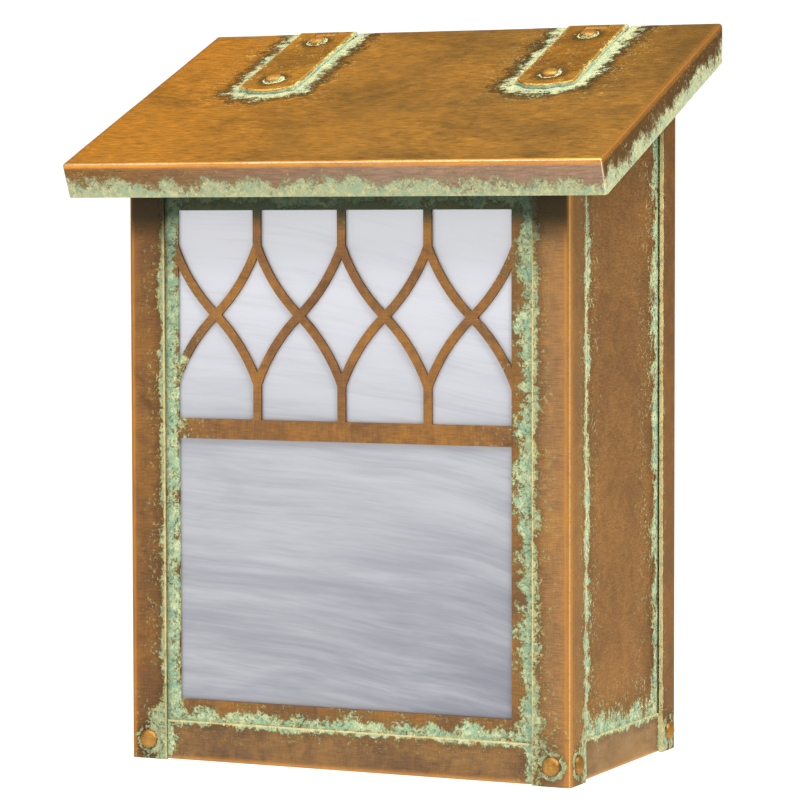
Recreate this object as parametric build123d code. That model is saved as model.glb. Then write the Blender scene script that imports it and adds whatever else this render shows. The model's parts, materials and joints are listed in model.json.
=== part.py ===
"""Wall mounted letter box in sheet brass, with an art glass front and a hinged, sloping lid.

The case is four outer members (two front corner posts and a flanged back plate) round a folded base
tray, with a pierced front panel and two side panels inside them. The lid is one folded sheet, hung on
two riveted strap hinges whose eyes turn on pins at the top of the back plate.

Units are millimetres. X runs along the front, Y runs from the front towards the wall, Z is up. Heights
are laid out from the underside of the case, and Y = 0 is the wall. Everything is saved with the origin
at the middle of the four wall screw holes, in the wall plane.
"""
from build123d import *
import math
import os

# ---- case -------------------------------------------------------------------------------------------
CASE_WIDTH = 228.6
CASE_DEPTH = 137.0
LEG = 19.05                    # leg of the corner posts, back plate flanges and base tray flanges
POST_SHEET = 1.6               # posts and back plate
SHEET = 1.2                    # base tray, panels and lid
POST_BEND = 2.4                # outside bend radius of the thicker sheet
BEND = 2.0                     # outside bend radius of the thinner sheet
FIT_GAP = 0.1                  # working gap between sheets that only meet edge to face
CORNER_RELIEF = 1.8            # square cut out of each corner of the tray, where two folds meet
MOUNT_HEIGHT = 177.8           # middle of the wall screw holes above the underside

# ---- window -----------------------------------------------------------------------------------------
BAYS = 4
BAY_PITCH = 44.3
BAR = 4.2                      # width of the tracery bars
WINDOW_SHIFT = -2.5            # the piercing sits a little left of the middle of the panel
LOWER_SILL = 29.5
LOWER_HEAD = 155.0
UPPER_SILL = 164.5
UPPER_HEAD = 263.7
ARCH_RISE = 32.6               # from the crossing of two arcs to the end of a straight bar
ARCH_TURN = 27.0               # degrees that one arc turns through
GLASS = 3.0
GLASS_LAP = 5.0                # glass beyond the piercing on every side
GLASS_GAP = 0.15
TAB_SHEET = 0.8
TAB_WIDTH = 10.0
TAB_FOOT = 7.0
TAB_FINGER = 4.5

# ---- lid --------------------------------------------------------------------------------------------
LID_PITCH = 23.16              # degrees, falling to the front
LID_FRONT_TOP = 285.8          # height of the lid's front top corner
EAVE_FRONT = 23.0
EAVE_SIDE = 24.0
LIP = 17.5                     # depth of the turned down edge, square to the lid
LID_WALL_GAP = 1.6
LID_REST_GAP = 0.25            # between the closed lid's underside and the case's top edges

# ---- hinges -----------------------------------------------------------------------------------------
STRAP_OFFSET = 73.5            # middle of each strap from the middle of the pair
STRAP_SHIFT = 2.0              # the pair sits a little right of the middle of the lid
STRAP_WIDTH = 31.0
STRAP_SHEET = 2.3
STRAP_LENGTH = 79.5            # from the pin to the middle of the rounded front end
STRAP_END_BOW = 5.0
PIN_RADIUS = 1.6
PIN_CLEARANCE = 0.05
EYE_SLIT = 0.3
KNUCKLE_MIDDLE = 11.6          # the fixed leaf's eye, between the strap's two eyes
KNUCKLE_GAP = 0.3
LEAF_DROP = 30.0
LEAF_RIVET_DROP = 20.0
LEAF_RIVET_OFFSET = 8.5
SWING_GAP = 0.35               # between an eye and whatever passes round it

# ---- fasteners --------------------------------------------------------------------------------------
RIVET_HEAD_RADIUS = 4.75
RIVET_HEAD_HEIGHT = 2.5
RIVET_SHANK_RADIUS = 2.38
RIVET_HOLE_RADIUS = 2.45
RIVET_TAIL_RADIUS = 3.4
RIVET_TAIL_HEIGHT = 1.5
RIVET_INSET = 9.5
FLUSH_HEAD_RADIUS = 4.2
FLUSH_SINK = 1.3               # depth of the countersink in the back plate
FLUSH_RECESS = 0.05            # the flush heads stop just short of the wall plane
WALL_HOLE_RADIUS = 2.75
WALL_HOLE_SPAN_X = 152.4
WALL_HOLE_SPAN_Z = 254.0
DRAIN_RADIUS = 3.0
DRAIN_INSET = 30.0
STRAP_RIVETS = (12.8, 65.3)    # from the pin, along the strap

# ---- worked out -------------------------------------------------------------------------------------
HALF_WIDTH = CASE_WIDTH / 2
SLOPE = math.tan(math.radians(LID_PITCH))
COS_PITCH = math.cos(math.radians(LID_PITCH))
LID_WALL_TOP = LID_FRONT_TOP + SLOPE * (CASE_DEPTH + EAVE_FRONT)
TRAY_HALF = HALF_WIDTH - POST_SHEET
PANEL_HALF = TRAY_HALF - SHEET
PANEL_FRONT = -CASE_DEPTH + POST_SHEET + SHEET
TRAY_BACK = -POST_SHEET
EYE_RADIUS = PIN_RADIUS + PIN_CLEARANCE + STRAP_SHEET
BORE_RADIUS = PIN_RADIUS + PIN_CLEARANCE
PIN_Y = -POST_SHEET - EYE_RADIUS
# The strap lies on the lid, and its top is level with the top of its eye.
PIN_Z = LID_WALL_TOP + SLOPE * PIN_Y - (EYE_RADIUS - STRAP_SHEET) / COS_PITCH
WINDOW_HALF = (BAYS * BAY_PITCH - BAR) / 2
TALL = 400.0                   # longer than anything in the case, for cutters


def strap_middle(side):
    """Where the middle of a strap is along the lid."""
    return STRAP_SHIFT + side * STRAP_OFFSET


def lid_top(y):
    """Height of the lid's top surface at a distance y from the wall (y is negative)."""
    return LID_WALL_TOP + SLOPE * y


def block(x0, x1, y0, y1, z0, z1):
    """A box between two corners."""
    return Pos((x0 + x1) / 2, (y0 + y1) / 2, (z0 + z1) / 2) * Box(x1 - x0, y1 - y0, z1 - z0)


def rod(start, axis, radius, length):
    """A cylinder from a start point along an axis."""
    return extrude(Plane(origin=start, z_dir=axis) * Circle(radius), length)


def folded_profile(points, outer, inner, sheet):
    """A closed outline with its outside and inside bend corners rounded.

    outer and inner are the corner points of the bends, as (x, y).
    """
    face = make_face(Polyline(*points, close=True))
    for corners, radius in ((outer, POST_BEND), (inner, POST_BEND - sheet)):
        for corner in corners:
            near = face.vertices().sort_by_distance(Vector(corner[0], corner[1], 0))[0]
            face = fillet(near, radius)
    return face


def above_lid_underside(gap):
    """Everything above the lid's underside, lowered by a gap: a cutter for the case's top edges."""
    drop = (SHEET + gap) / COS_PITCH
    wedge = Polyline(
        (-TALL, lid_top(-TALL) - drop),
        (TALL, lid_top(TALL) - drop),
        (TALL, TALL + lid_top(TALL)),
        (-TALL, TALL + lid_top(TALL)),
        close=True,
    )
    return extrude(Plane.YZ * make_face(wedge), TALL, both=True)


def lid_tail_swing():
    """Room for the part of the lid behind the pins, which turns down as the lid opens."""
    tail = math.hypot(PIN_Y + LID_WALL_GAP, lid_top(-LID_WALL_GAP) - PIN_Z) + SWING_GAP
    swept = rod((-TALL, PIN_Y, PIN_Z), (1, 0, 0), tail, 2 * TALL)
    over = block(-TALL, TALL, PIN_Y, TALL, PIN_Z, PIN_Z + TALL)
    return swept + over


CASE_TOP_CUT = above_lid_underside(LID_REST_GAP)
TAIL_CUT = lid_tail_swing()


def strap_to_case(shape):
    """Carries a shape from the strap's own frame to the case.

    In the strap's frame the pin is at the origin, -Y runs down the lid and +Z is square to it.
    """
    return Pos(0, PIN_Y, PIN_Z) * Rot(LID_PITCH, 0, 0) * shape


# ---- rivets -----------------------------------------------------------------------------------------
def dome(radius):
    """A rivet's domed head standing on Z = 0."""
    sphere = (radius**2 + RIVET_HEAD_HEIGHT**2) / (2 * RIVET_HEAD_HEIGHT)
    ball = Pos(0, 0, RIVET_HEAD_HEIGHT - sphere) * Sphere(sphere)
    return ball & block(-TALL, TALL, -TALL, TALL, 0, TALL)


def dome_rivet(grip):
    """A domed rivet on the Z axis: head above Z = 0, shank through the grip, closed tail below it."""
    shank = rod((0, 0, 0), (0, 0, -1), RIVET_SHANK_RADIUS, grip)
    tail = rod((0, 0, -grip), (0, 0, -1), RIVET_TAIL_RADIUS, RIVET_TAIL_HEIGHT)
    tail = fillet(tail.faces().sort_by(Axis.Z)[0].edges(), 0.7)
    return dome(RIVET_HEAD_RADIUS) + shank + tail


def flush_rivet(grip):
    """A rivet on the Z axis with a countersunk head at Z = 0 and a domed head below the grip."""
    head = Cone(RIVET_SHANK_RADIUS, FLUSH_HEAD_RADIUS - FLUSH_RECESS, FLUSH_SINK)
    flush = Pos(0, 0, -FLUSH_RECESS - FLUSH_SINK / 2) * head
    shank = rod((0, 0, -FLUSH_RECESS), (0, 0, -1), RIVET_SHANK_RADIUS, grip - FLUSH_RECESS)
    return flush + shank + Pos(0, 0, -grip) * Rot(180, 0, 0) * dome(RIVET_HEAD_RADIUS)


def facing(shape, place, axis):
    """Puts a shape made on the Z axis at a place, with its +Z along an axis."""
    return Plane(origin=place, z_dir=axis).location * shape


def rivet_hole(place, axis, depth):
    """A cutter for a rivet's shank, through everything for a depth behind a place."""
    back = tuple(-c for c in axis)
    start = tuple(p + c * 1.0 for p, c in zip(place, axis))
    return rod(start, back, RIVET_HOLE_RADIUS, depth + 1.0)


SIDES = (-1, 1)
GRIP = POST_SHEET + 2 * SHEET
CORNER_Y = (-CASE_DEPTH + RIVET_INSET, -RIVET_INSET)


def front_places(z):
    """The rivets through the posts' front legs, at a height."""
    return [((s * (HALF_WIDTH - RIVET_INSET), -CASE_DEPTH, z), (0, -1, 0)) for s in SIDES]


def side_places(y, z):
    """The rivets through a post's side leg or a back plate flange, on both sides."""
    return [((s * HALF_WIDTH, y, z), (s, 0, 0)) for s in SIDES]


def top_rivet_height(y):
    """Height of a top rivet, a rivet inset and a little more below the lid."""
    return lid_top(y) - SHEET / COS_PITCH - RIVET_INSET - 2.0


FRONT_TOP_Z = top_rivet_height(-CASE_DEPTH)
TOP_PLACES = front_places(FRONT_TOP_Z)
for corner_y in CORNER_Y:
    TOP_PLACES += side_places(corner_y, top_rivet_height(corner_y))
FRONT_LOW_PLACES = front_places(RIVET_INSET)
SIDE_LOW_PLACES = side_places(CORNER_Y[0], RIVET_INSET)
BACK_LOW_PLACES = side_places(CORNER_Y[1], RIVET_INSET)
CORNER_PLACES = TOP_PLACES + FRONT_LOW_PLACES + SIDE_LOW_PLACES + BACK_LOW_PLACES
CORNER_HOLES = [rivet_hole(place, axis, GRIP) for place, axis in CORNER_PLACES]

LEAF_RIVET_Z = PIN_Z - LEAF_RIVET_DROP
LEAF_RIVET_X = [strap_middle(s) + side * LEAF_RIVET_OFFSET for s in SIDES for side in SIDES]
LEAF_PLACES = [((x, 0, LEAF_RIVET_Z), (0, 1, 0)) for x in LEAF_RIVET_X]
TRAY_BACK_PLACES = [((s * 60.0, 0, RIVET_INSET), (0, 1, 0)) for s in SIDES]


def flush_cutter(place):
    """A countersunk rivet hole in the back plate."""
    wider = RIVET_HOLE_RADIUS - RIVET_SHANK_RADIUS + FLUSH_RECESS
    cone = Pos(0, 0, -FLUSH_SINK / 2) * Cone(RIVET_HOLE_RADIUS, FLUSH_HEAD_RADIUS + wider, FLUSH_SINK)
    return facing(cone, place, (0, 1, 0)) + rivet_hole(place, (0, 1, 0), POST_SHEET + STRAP_SHEET + 1.0)


# ---- case pieces ------------------------------------------------------------------------------------
def front_post(side):
    """An angle round one front corner, cut off along the lid's slope."""
    profile = folded_profile(
        [(0, 0), (LEG, 0), (LEG, POST_SHEET), (POST_SHEET, POST_SHEET), (POST_SHEET, LEG), (0, LEG)],
        [(0, 0)],
        [(POST_SHEET, POST_SHEET)],
        POST_SHEET,
    )
    post = Pos(-HALF_WIDTH, -CASE_DEPTH, 0) * extrude(profile, TALL)
    if side > 0:
        post = mirror(post, about=Plane.YZ)
    post -= CASE_TOP_CUT
    for hole in CORNER_HOLES:
        post -= hole
    return post


def back_plate():
    """The back, with a flange down each side that laps over the side panel."""
    half, inner = HALF_WIDTH, HALF_WIDTH - POST_SHEET
    profile = folded_profile(
        [(-half, 0), (half, 0), (half, -LEG), (inner, -LEG), (inner, -POST_SHEET),
         (-inner, -POST_SHEET), (-inner, -LEG), (-half, -LEG)],
        [(-half, 0), (half, 0)],
        [(-inner, -POST_SHEET), (inner, -POST_SHEET)],
        POST_SHEET,
    )
    plate = extrude(profile, TALL) - CASE_TOP_CUT - TAIL_CUT
    for hole in CORNER_HOLES:
        plate -= hole
    for place, _ in LEAF_PLACES + TRAY_BACK_PLACES:
        plate -= flush_cutter(place)
    for x in (-WALL_HOLE_SPAN_X / 2, WALL_HOLE_SPAN_X / 2):
        for z in (MOUNT_HEIGHT - WALL_HOLE_SPAN_Z / 2, MOUNT_HEIGHT + WALL_HOLE_SPAN_Z / 2):
            plate -= rod((x, 1.0, z), (0, -1, 0), WALL_HOLE_RADIUS, 2.0 + POST_SHEET)
    return plate


def base_tray():
    """The floor, with a flange up each side, open at the corners where the folds meet."""
    front = -CASE_DEPTH + POST_SHEET
    outer = block(-TRAY_HALF, TRAY_HALF, front, TRAY_BACK, 0, LEG)
    outer = fillet(outer.faces().sort_by(Axis.Z)[0].edges(), BEND)
    inner = block(-TRAY_HALF + SHEET, TRAY_HALF - SHEET, front + SHEET, TRAY_BACK - SHEET, SHEET, 2 * LEG)
    inner = fillet(inner.faces().sort_by(Axis.Z)[0].edges(), BEND - SHEET)
    tray = outer - inner
    for x in (-TRAY_HALF, TRAY_HALF - CORNER_RELIEF):
        for y in (front, TRAY_BACK - CORNER_RELIEF):
            tray -= block(x, x + CORNER_RELIEF, y, y + CORNER_RELIEF, -1.0, LEG + 1.0)
    for x in (-TRAY_HALF + DRAIN_INSET, TRAY_HALF - DRAIN_INSET):
        for y in (front + DRAIN_INSET, TRAY_BACK - DRAIN_INSET):
            tray -= rod((x, y, -1.0), (0, 0, 1), DRAIN_RADIUS, 2.0 + SHEET)
    for hole in CORNER_HOLES:
        tray -= hole
    for place, axis in TRAY_BACK_PLACES:
        tray -= rivet_hole(place, axis, POST_SHEET + SHEET + 1.0)
    return tray


def side_panel(side):
    """A flat side sheet inside the tray flange, the post and the back plate's flange."""
    front = PANEL_FRONT + SHEET + FIT_GAP
    back = TRAY_BACK - SHEET - FIT_GAP
    x0, x1 = sorted((side * (PANEL_HALF - SHEET), side * PANEL_HALF))
    panel = block(x0, x1, front, back, BEND, TALL) - CASE_TOP_CUT - TAIL_CUT
    for hole in CORNER_HOLES:
        panel -= hole
    return panel


# ---- pierced front and its glass --------------------------------------------------------------------
def arc_bar(side_x, side_z):
    """One arc of the tracery, from a straight bar's end at the origin out to the crossing.

    side_x and side_z are -1 or 1: which way the arc leaves the bar.
    """
    half_pitch = BAY_PITCH / 2
    chord = math.hypot(half_pitch, ARCH_RISE)
    lean = math.atan2(half_pitch, ARCH_RISE)
    turn = math.radians(ARCH_TURN)
    radius = chord / (2 * math.sin(turn / 2))
    begin = lean - turn / 2
    middle = begin + turn / 2
    along = [
        (radius * (math.cos(begin) - math.cos(a)), radius * (math.sin(a) - math.sin(begin)))
        for a in (begin, middle, begin + turn)
    ]
    points = [(side_x * x, side_z * z) for x, z in along]
    return trace(ThreePointArc(*points), line_width=BAR)


def tracery():
    """The bars and crossing arcs of the upper window, as one flat face centred on the crossings."""
    half_height = (UPPER_HEAD - UPPER_SILL) / 2
    bar_length = half_height - ARCH_RISE + BAR
    bars = []
    for i in range(BAYS + 1):
        x = (i - BAYS / 2) * BAY_PITCH
        for end in (-1, 1):
            bars.append(Pos(x, end * (half_height + BAR - bar_length / 2)) * Rectangle(BAR, bar_length))
            for side in (-1, 1):
                if 0 <= i + side <= BAYS:
                    bars.append(Pos(x, end * ARCH_RISE) * arc_bar(side, -end))
    face = bars[0]
    for bar in bars[1:]:
        face += bar
    return face


def front_panel():
    """The pierced sheet behind the posts: a plain lower window and an arched upper one."""
    top = lid_top(PANEL_FRONT) - (SHEET + LID_REST_GAP) / COS_PITCH
    half = PANEL_HALF - FIT_GAP
    sheet = Pos(0, (top + BEND) / 2) * Rectangle(2 * half, top - BEND)
    for sill, head in ((LOWER_SILL, LOWER_HEAD), (UPPER_SILL, UPPER_HEAD)):
        sheet -= Pos(WINDOW_SHIFT, (sill + head) / 2) * Rectangle(2 * WINDOW_HALF, head - sill)
    sheet += Pos(WINDOW_SHIFT, (UPPER_SILL + UPPER_HEAD) / 2) * tracery()
    plane = Plane(origin=(0, PANEL_FRONT, 0), x_dir=(1, 0, 0), z_dir=(0, -1, 0))
    panel = extrude(plane * sheet, -SHEET)
    for hole in CORNER_HOLES:
        panel -= hole
    return panel


GLASS_FRONT = PANEL_FRONT + SHEET + GLASS_GAP
GLASS_SIDES = (WINDOW_SHIFT - WINDOW_HALF - GLASS_LAP, WINDOW_SHIFT + WINDOW_HALF + GLASS_LAP)
GLASS_ENDS = (LOWER_SILL - GLASS_LAP, UPPER_HEAD + GLASS_LAP)


def glass_pane():
    """One sheet of art glass behind both windows."""
    return block(*GLASS_SIDES, GLASS_FRONT, GLASS_FRONT + GLASS, *GLASS_ENDS)


def glass_tab():
    """A stepped tab, made for a pane edge at X = 0 with the glass on the -X side, on a face at Y = 0."""
    edge = 0.3
    lift = GLASS_GAP + GLASS + 0.15
    riser = edge + TAB_SHEET
    profile = Polyline(
        (riser + TAB_FOOT, 0), (riser + TAB_FOOT, TAB_SHEET), (riser, TAB_SHEET),
        (riser, lift + TAB_SHEET), (-TAB_FINGER, lift + TAB_SHEET), (-TAB_FINGER, lift),
        (edge, lift), (edge, 0), close=True,
    )
    return extrude(make_face(profile), TAB_WIDTH / 2, both=True)


def glass_tabs():
    """Eight tabs that hold the glass against the back of the front panel, two on each edge."""
    tab = glass_tab()
    face_y = PANEL_FRONT + SHEET
    left, right = GLASS_SIDES
    low, high = GLASS_ENDS
    third = (high - low) / 4
    tabs = []
    for z in (low + third, high - third):
        tabs.append(Pos(right, face_y, z) * tab)
        tabs.append(Pos(left, face_y, z) * Rot(0, 180, 0) * tab)
    for x in (left / 2, right / 2):
        tabs.append(Pos(x, face_y, high) * Rot(0, -90, 0) * tab)
        tabs.append(Pos(x, face_y, low) * Rot(0, 90, 0) * tab)
    return tabs


# ---- hinges -----------------------------------------------------------------------------------------
STRAP_FRONT = -STRAP_LENGTH
EYE_WIDTH = (STRAP_WIDTH - KNUCKLE_MIDDLE) / 2 - KNUCKLE_GAP


def eye(x0, x1):
    """A rolled hinge eye about the X axis, with the slit where the roll meets the plate's underside."""
    ring = rod((x0, 0, 0), (1, 0, 0), EYE_RADIUS, x1 - x0)
    ring -= rod((x0 - 1, 0, 0), (1, 0, 0), BORE_RADIUS, x1 - x0 + 2)
    ring -= block(x0, x1, -EYE_RADIUS, 0, BORE_RADIUS - EYE_SLIT, BORE_RADIUS)
    return ring


def strap(side):
    """A strap hinge leaf that lies on the lid, with a bowed front end and two eyes at the back."""
    half = STRAP_WIDTH / 2
    shoulder = STRAP_FRONT + STRAP_END_BOW
    outline = [
        Line((-half, 0), (-half, shoulder)),
        ThreePointArc((-half, shoulder), (0, STRAP_FRONT), (half, shoulder)),
        Line((half, shoulder), (half, 0)),
        Line((half, 0), (-half, 0)),
    ]
    plate = Pos(0, 0, BORE_RADIUS) * extrude(make_face(outline), STRAP_SHEET)
    room = KNUCKLE_MIDDLE / 2 + KNUCKLE_GAP
    back = -EYE_RADIUS - SWING_GAP
    plate -= block(-room, room, back, 1, 0, 2 * EYE_RADIUS)
    plate += eye(-half, -half + EYE_WIDTH) + eye(half - EYE_WIDTH, half)
    for along in STRAP_RIVETS:
        plate -= rod((0, -along, 0), (0, 0, 1), RIVET_HOLE_RADIUS, 2 * EYE_RADIUS)
    return strap_to_case(Pos(strap_middle(side), 0, 0) * plate)


def hinge_leaf(side):
    """The fixed leaf on the inside of the back plate, with one eye between the strap's two."""
    half, middle = STRAP_WIDTH / 2, KNUCKLE_MIDDLE / 2
    shoulder = PIN_Z - EYE_RADIUS - SWING_GAP
    plate = block(-half, half, -POST_SHEET - STRAP_SHEET, -POST_SHEET, PIN_Z - LEAF_DROP, shoulder)
    low = plate.faces().sort_by(Axis.Z)[0]
    plate = fillet(low.edges().filter_by(Axis.Y), 4.0)
    plate += block(-middle, middle, -POST_SHEET - STRAP_SHEET, -POST_SHEET, shoulder - 1, PIN_Z)
    turned = Pos(0, PIN_Y, PIN_Z) * mirror(Rot(-90, 0, 0) * eye(-middle, middle), about=Plane.XY)
    leaf = Pos(strap_middle(side), 0, 0) * (plate + turned)
    for place, axis in LEAF_PLACES:
        leaf -= rivet_hole(place, axis, POST_SHEET + STRAP_SHEET + 1.0)
    return leaf


def hinge_pin(side):
    """The pin through the three eyes of one hinge, a little short of the strap's edges."""
    half = STRAP_WIDTH / 2 - 0.2
    pin = rod((strap_middle(side) - half, PIN_Y, PIN_Z), (1, 0, 0), PIN_RADIUS, 2 * half)
    return chamfer(pin.edges().filter_by(GeomType.CIRCLE), 0.3)


# ---- lid --------------------------------------------------------------------------------------------
def lid_sheet():
    """The sloping top with a lip down the front and both sides, notched round the hinge eyes.

    It is made in the strap's frame, where the top surface is level, and then tilted into place.
    """
    top = BORE_RADIUS
    half = HALF_WIDTH + EAVE_SIDE
    front = (-CASE_DEPTH - EAVE_FRONT - PIN_Y) / COS_PITCH + top * SLOPE
    rear = EYE_RADIUS * 3
    outer = block(-half, half, front, rear, top - LIP, top)
    edges = outer.faces().sort_by(Axis.Z)[-1].edges()
    corners = outer.edges().filter_by(Axis.Z).sort_by(Axis.Y)[:2]
    outer = fillet(edges.sort_by(Axis.Y)[:-1] + corners, BEND)
    inner = block(-half + SHEET, half - SHEET, front + SHEET, rear + 1, top - 2 * LIP, top - SHEET)
    inner_edges = inner.faces().sort_by(Axis.Z)[-1].edges()
    inner_corners = inner.edges().filter_by(Axis.Z).sort_by(Axis.Y)[:2]
    inner = fillet(inner_edges.sort_by(Axis.Y)[:-1] + inner_corners, BEND - SHEET)
    sheet = outer - inner
    room = STRAP_WIDTH / 2 + KNUCKLE_GAP
    for s in SIDES:
        x = strap_middle(s)
        sheet -= block(x - room, x + room, -EYE_RADIUS - SWING_GAP, rear + 1, top - LIP, top + 1)
        for along in STRAP_RIVETS:
            sheet -= rod((x, -along, top + 1), (0, 0, -1), RIVET_HOLE_RADIUS, SHEET + 2)
    return strap_to_case(sheet) - block(-TALL, TALL, -LID_WALL_GAP, TALL, 0, 2 * TALL)


def strap_rivets():
    """Two domed rivets through each strap and the lid."""
    rivet = dome_rivet(STRAP_SHEET + SHEET)
    rivets = []
    for s in SIDES:
        for along in STRAP_RIVETS:
            rivets.append(strap_to_case(Pos(strap_middle(s), -along, EYE_RADIUS) * rivet))
    return rivets


# ---- fasteners of the case --------------------------------------------------------------------------
def corner_rivets(places):
    """Domed rivets through a post or flange, the tray or a washer, and a panel."""
    rivet = dome_rivet(GRIP)
    return [facing(rivet, place, axis) for place, axis in places]


def spacer_washers():
    """A washer on each top rivet, as thick as the tray flange that fills the gap lower down."""
    ring = Cylinder(RIVET_HEAD_RADIUS, SHEET) - Cylinder(RIVET_HOLE_RADIUS, 2 * SHEET)
    ring = Pos(0, 0, -POST_SHEET - SHEET / 2) * ring
    return [facing(ring, place, axis) for place, axis in TOP_PLACES]


def flush_rivets(places, grip):
    """Rivets with their flush heads in the wall face of the back plate."""
    rivet = flush_rivet(grip)
    return [facing(rivet, place, axis) for place, axis in places]


PIECES = {
    "back_plate": back_plate,
    "base_tray": base_tray,
    "front_panel": front_panel,
    "left_side_panel": lambda: side_panel(-1),
    "right_side_panel": lambda: side_panel(1),
    "left_front_post": lambda: front_post(-1),
    "right_front_post": lambda: front_post(1),
    "glass_pane": glass_pane,
    "glass_tabs": glass_tabs,
    "front_corner_rivets": lambda: corner_rivets(FRONT_LOW_PLACES),
    "side_corner_rivets": lambda: corner_rivets(SIDE_LOW_PLACES),
    "back_corner_rivets": lambda: corner_rivets(BACK_LOW_PLACES),
    "top_rivets": lambda: corner_rivets(TOP_PLACES),
    "spacer_washers": spacer_washers,
    "tray_back_rivets": lambda: flush_rivets(TRAY_BACK_PLACES, POST_SHEET + SHEET),
    "left_hinge_leaf": lambda: hinge_leaf(-1),
    "right_hinge_leaf": lambda: hinge_leaf(1),
    "hinge_leaf_rivets": lambda: flush_rivets(LEAF_PLACES, POST_SHEET + STRAP_SHEET),
    "left_hinge_pin": lambda: hinge_pin(-1),
    "right_hinge_pin": lambda: hinge_pin(1),
    "lid_sheet": lid_sheet,
    "left_strap": lambda: strap(-1),
    "right_strap": lambda: strap(1),
    "strap_rivets": strap_rivets,
}


def solids_of(made):
    """The solids of a piece or of a group of identical pieces, in the frame of the wall screws."""
    shapes = made if isinstance(made, list) else [made]
    moved = [Pos(0, 0, -MOUNT_HEIGHT) * shape for shape in shapes]
    return [solid for shape in moved for solid in shape.solids()]


def main():
    os.makedirs("parts", exist_ok=True)
    for name, make in PIECES.items():
        solids = solids_of(make())
        export_step(solids[0] if len(solids) == 1 else Compound(children=solids), f"parts/{name}.step")
    print("pin at", round(PIN_Y, 3), round(PIN_Z - MOUNT_HEIGHT, 3), "lid top at wall", round(LID_WALL_TOP, 3))


main()
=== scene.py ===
"""Finishes and surface detail for a wall mounted letter box in aged brass with an art glass front.

The box is a riveted case of folded sheet with a pierced front and a sloping lid on two strap hinges.
Sizes in this file are millimetres, and each mesh is scaled to metres as it is made. X runs along the
front, Y runs towards the wall, Z is up, and the front faces -Y. In the lid's own axes Y runs up the
slope and Z is square to it.
"""
import json
import logging
import math
from dataclasses import dataclass
from enum import Enum

import bmesh
import bpy
from mathutils import Matrix, Vector, noise


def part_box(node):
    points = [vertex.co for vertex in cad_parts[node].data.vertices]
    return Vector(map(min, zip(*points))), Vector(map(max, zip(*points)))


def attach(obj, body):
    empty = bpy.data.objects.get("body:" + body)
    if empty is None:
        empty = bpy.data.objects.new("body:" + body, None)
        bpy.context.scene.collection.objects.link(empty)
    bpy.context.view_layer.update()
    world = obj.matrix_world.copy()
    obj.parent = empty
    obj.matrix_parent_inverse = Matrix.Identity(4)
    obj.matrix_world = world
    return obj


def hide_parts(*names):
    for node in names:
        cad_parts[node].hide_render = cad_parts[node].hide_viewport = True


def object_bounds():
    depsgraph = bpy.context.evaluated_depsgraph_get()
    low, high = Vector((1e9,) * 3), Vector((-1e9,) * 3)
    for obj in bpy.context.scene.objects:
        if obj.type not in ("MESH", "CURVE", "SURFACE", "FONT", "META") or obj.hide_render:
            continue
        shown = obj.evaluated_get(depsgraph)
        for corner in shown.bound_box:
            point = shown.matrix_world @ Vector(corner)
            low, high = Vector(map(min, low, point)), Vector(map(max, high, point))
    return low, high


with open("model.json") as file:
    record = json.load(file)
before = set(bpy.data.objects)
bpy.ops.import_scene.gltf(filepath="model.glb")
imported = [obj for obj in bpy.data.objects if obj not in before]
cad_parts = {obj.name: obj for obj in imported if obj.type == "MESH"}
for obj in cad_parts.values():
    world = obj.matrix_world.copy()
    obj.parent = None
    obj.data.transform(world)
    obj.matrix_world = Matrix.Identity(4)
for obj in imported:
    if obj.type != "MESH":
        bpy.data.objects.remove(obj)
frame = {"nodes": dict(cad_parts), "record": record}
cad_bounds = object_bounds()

LOG = logging.getLogger("letter_box")
METRE = 1000.0                 # millimetres in a metre
LID_PITCH = 23.16              # degrees, falling to the front
EDGE_SEGMENTS = 2              # in the rounding of a sheet's cut edge
EDGE_ANGLE = 50.0              # degrees; edges that turn more than this are rounded
BODIES = {node: body for body, nodes in frame["record"]["behaviour"]["bodies"].items() for node in nodes}


class Side(Enum):
    """A side of the box, seen from the front."""

    LEFT = -1
    RIGHT = 1


class Grain(Enum):
    """How long the brushing scratches are along X, Y and Z, in millimetres."""

    ALONG_FRONT = (7.0, 0.7, 0.5)
    ALONG_SIDE = (0.7, 3.5, 0.7)


def box_mm(node: str) -> tuple[Vector, Vector]:
    """Finds where a frame node is.

    Args:
        node: The node's name.

    Returns:
        Its lowest and highest corners, in millimetres.
    """
    low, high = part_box(node)
    return low * METRE, high * METRE


@dataclass(frozen=True)
class CaseEdges:
    """Where the edges and seams of the case are, in millimetres. Each X is measured from the middle."""

    post_inner: float              # X of the cut edge of a post's front leg
    post_outer: float              # X of its side face
    post_front: float              # Y of its front face
    post_rear: float               # Y of the cut edge of its side leg
    back_front: float              # Y of the cut edges of the back plate's flanges
    tray_front: float              # Y of the tray's front face
    tray_top: float                # Z of the tray's cut edge
    tray_bottom: float             # Z of its underside
    eave: float                    # Z of the lower edge of the lid

    @classmethod
    def measured(cls) -> "CaseEdges":
        """Reads the edges from the frame's nodes.

        Returns:
            The edges.
        """
        post_low, post_high = box_mm("right_front_post")
        tray_low, tray_high = box_mm("base_tray")
        return cls(
            post_inner=post_low.x,
            post_outer=post_high.x,
            post_front=post_low.y,
            post_rear=post_high.y,
            back_front=box_mm("back_plate")[0].y,
            tray_front=tray_low.y,
            tray_top=tray_high.z,
            tray_bottom=tray_low.z,
            eave=box_mm("lid_sheet")[0].z,
        )


EDGES = CaseEdges.measured()


def linear(code: str) -> tuple[float, float, float, float]:
    """Turns a screen colour into the light it stands for.

    Args:
        code: Six hexadecimal digits, red first.

    Returns:
        Red, green, blue and an alpha of one.
    """
    parts = [int(code[i : i + 2], 16) / 255 for i in (0, 2, 4)]
    light = [c / 12.92 if c < 0.04045 else ((c + 0.055) / 1.055) ** 2.4 for c in parts]
    return (*light, 1.0)


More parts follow.
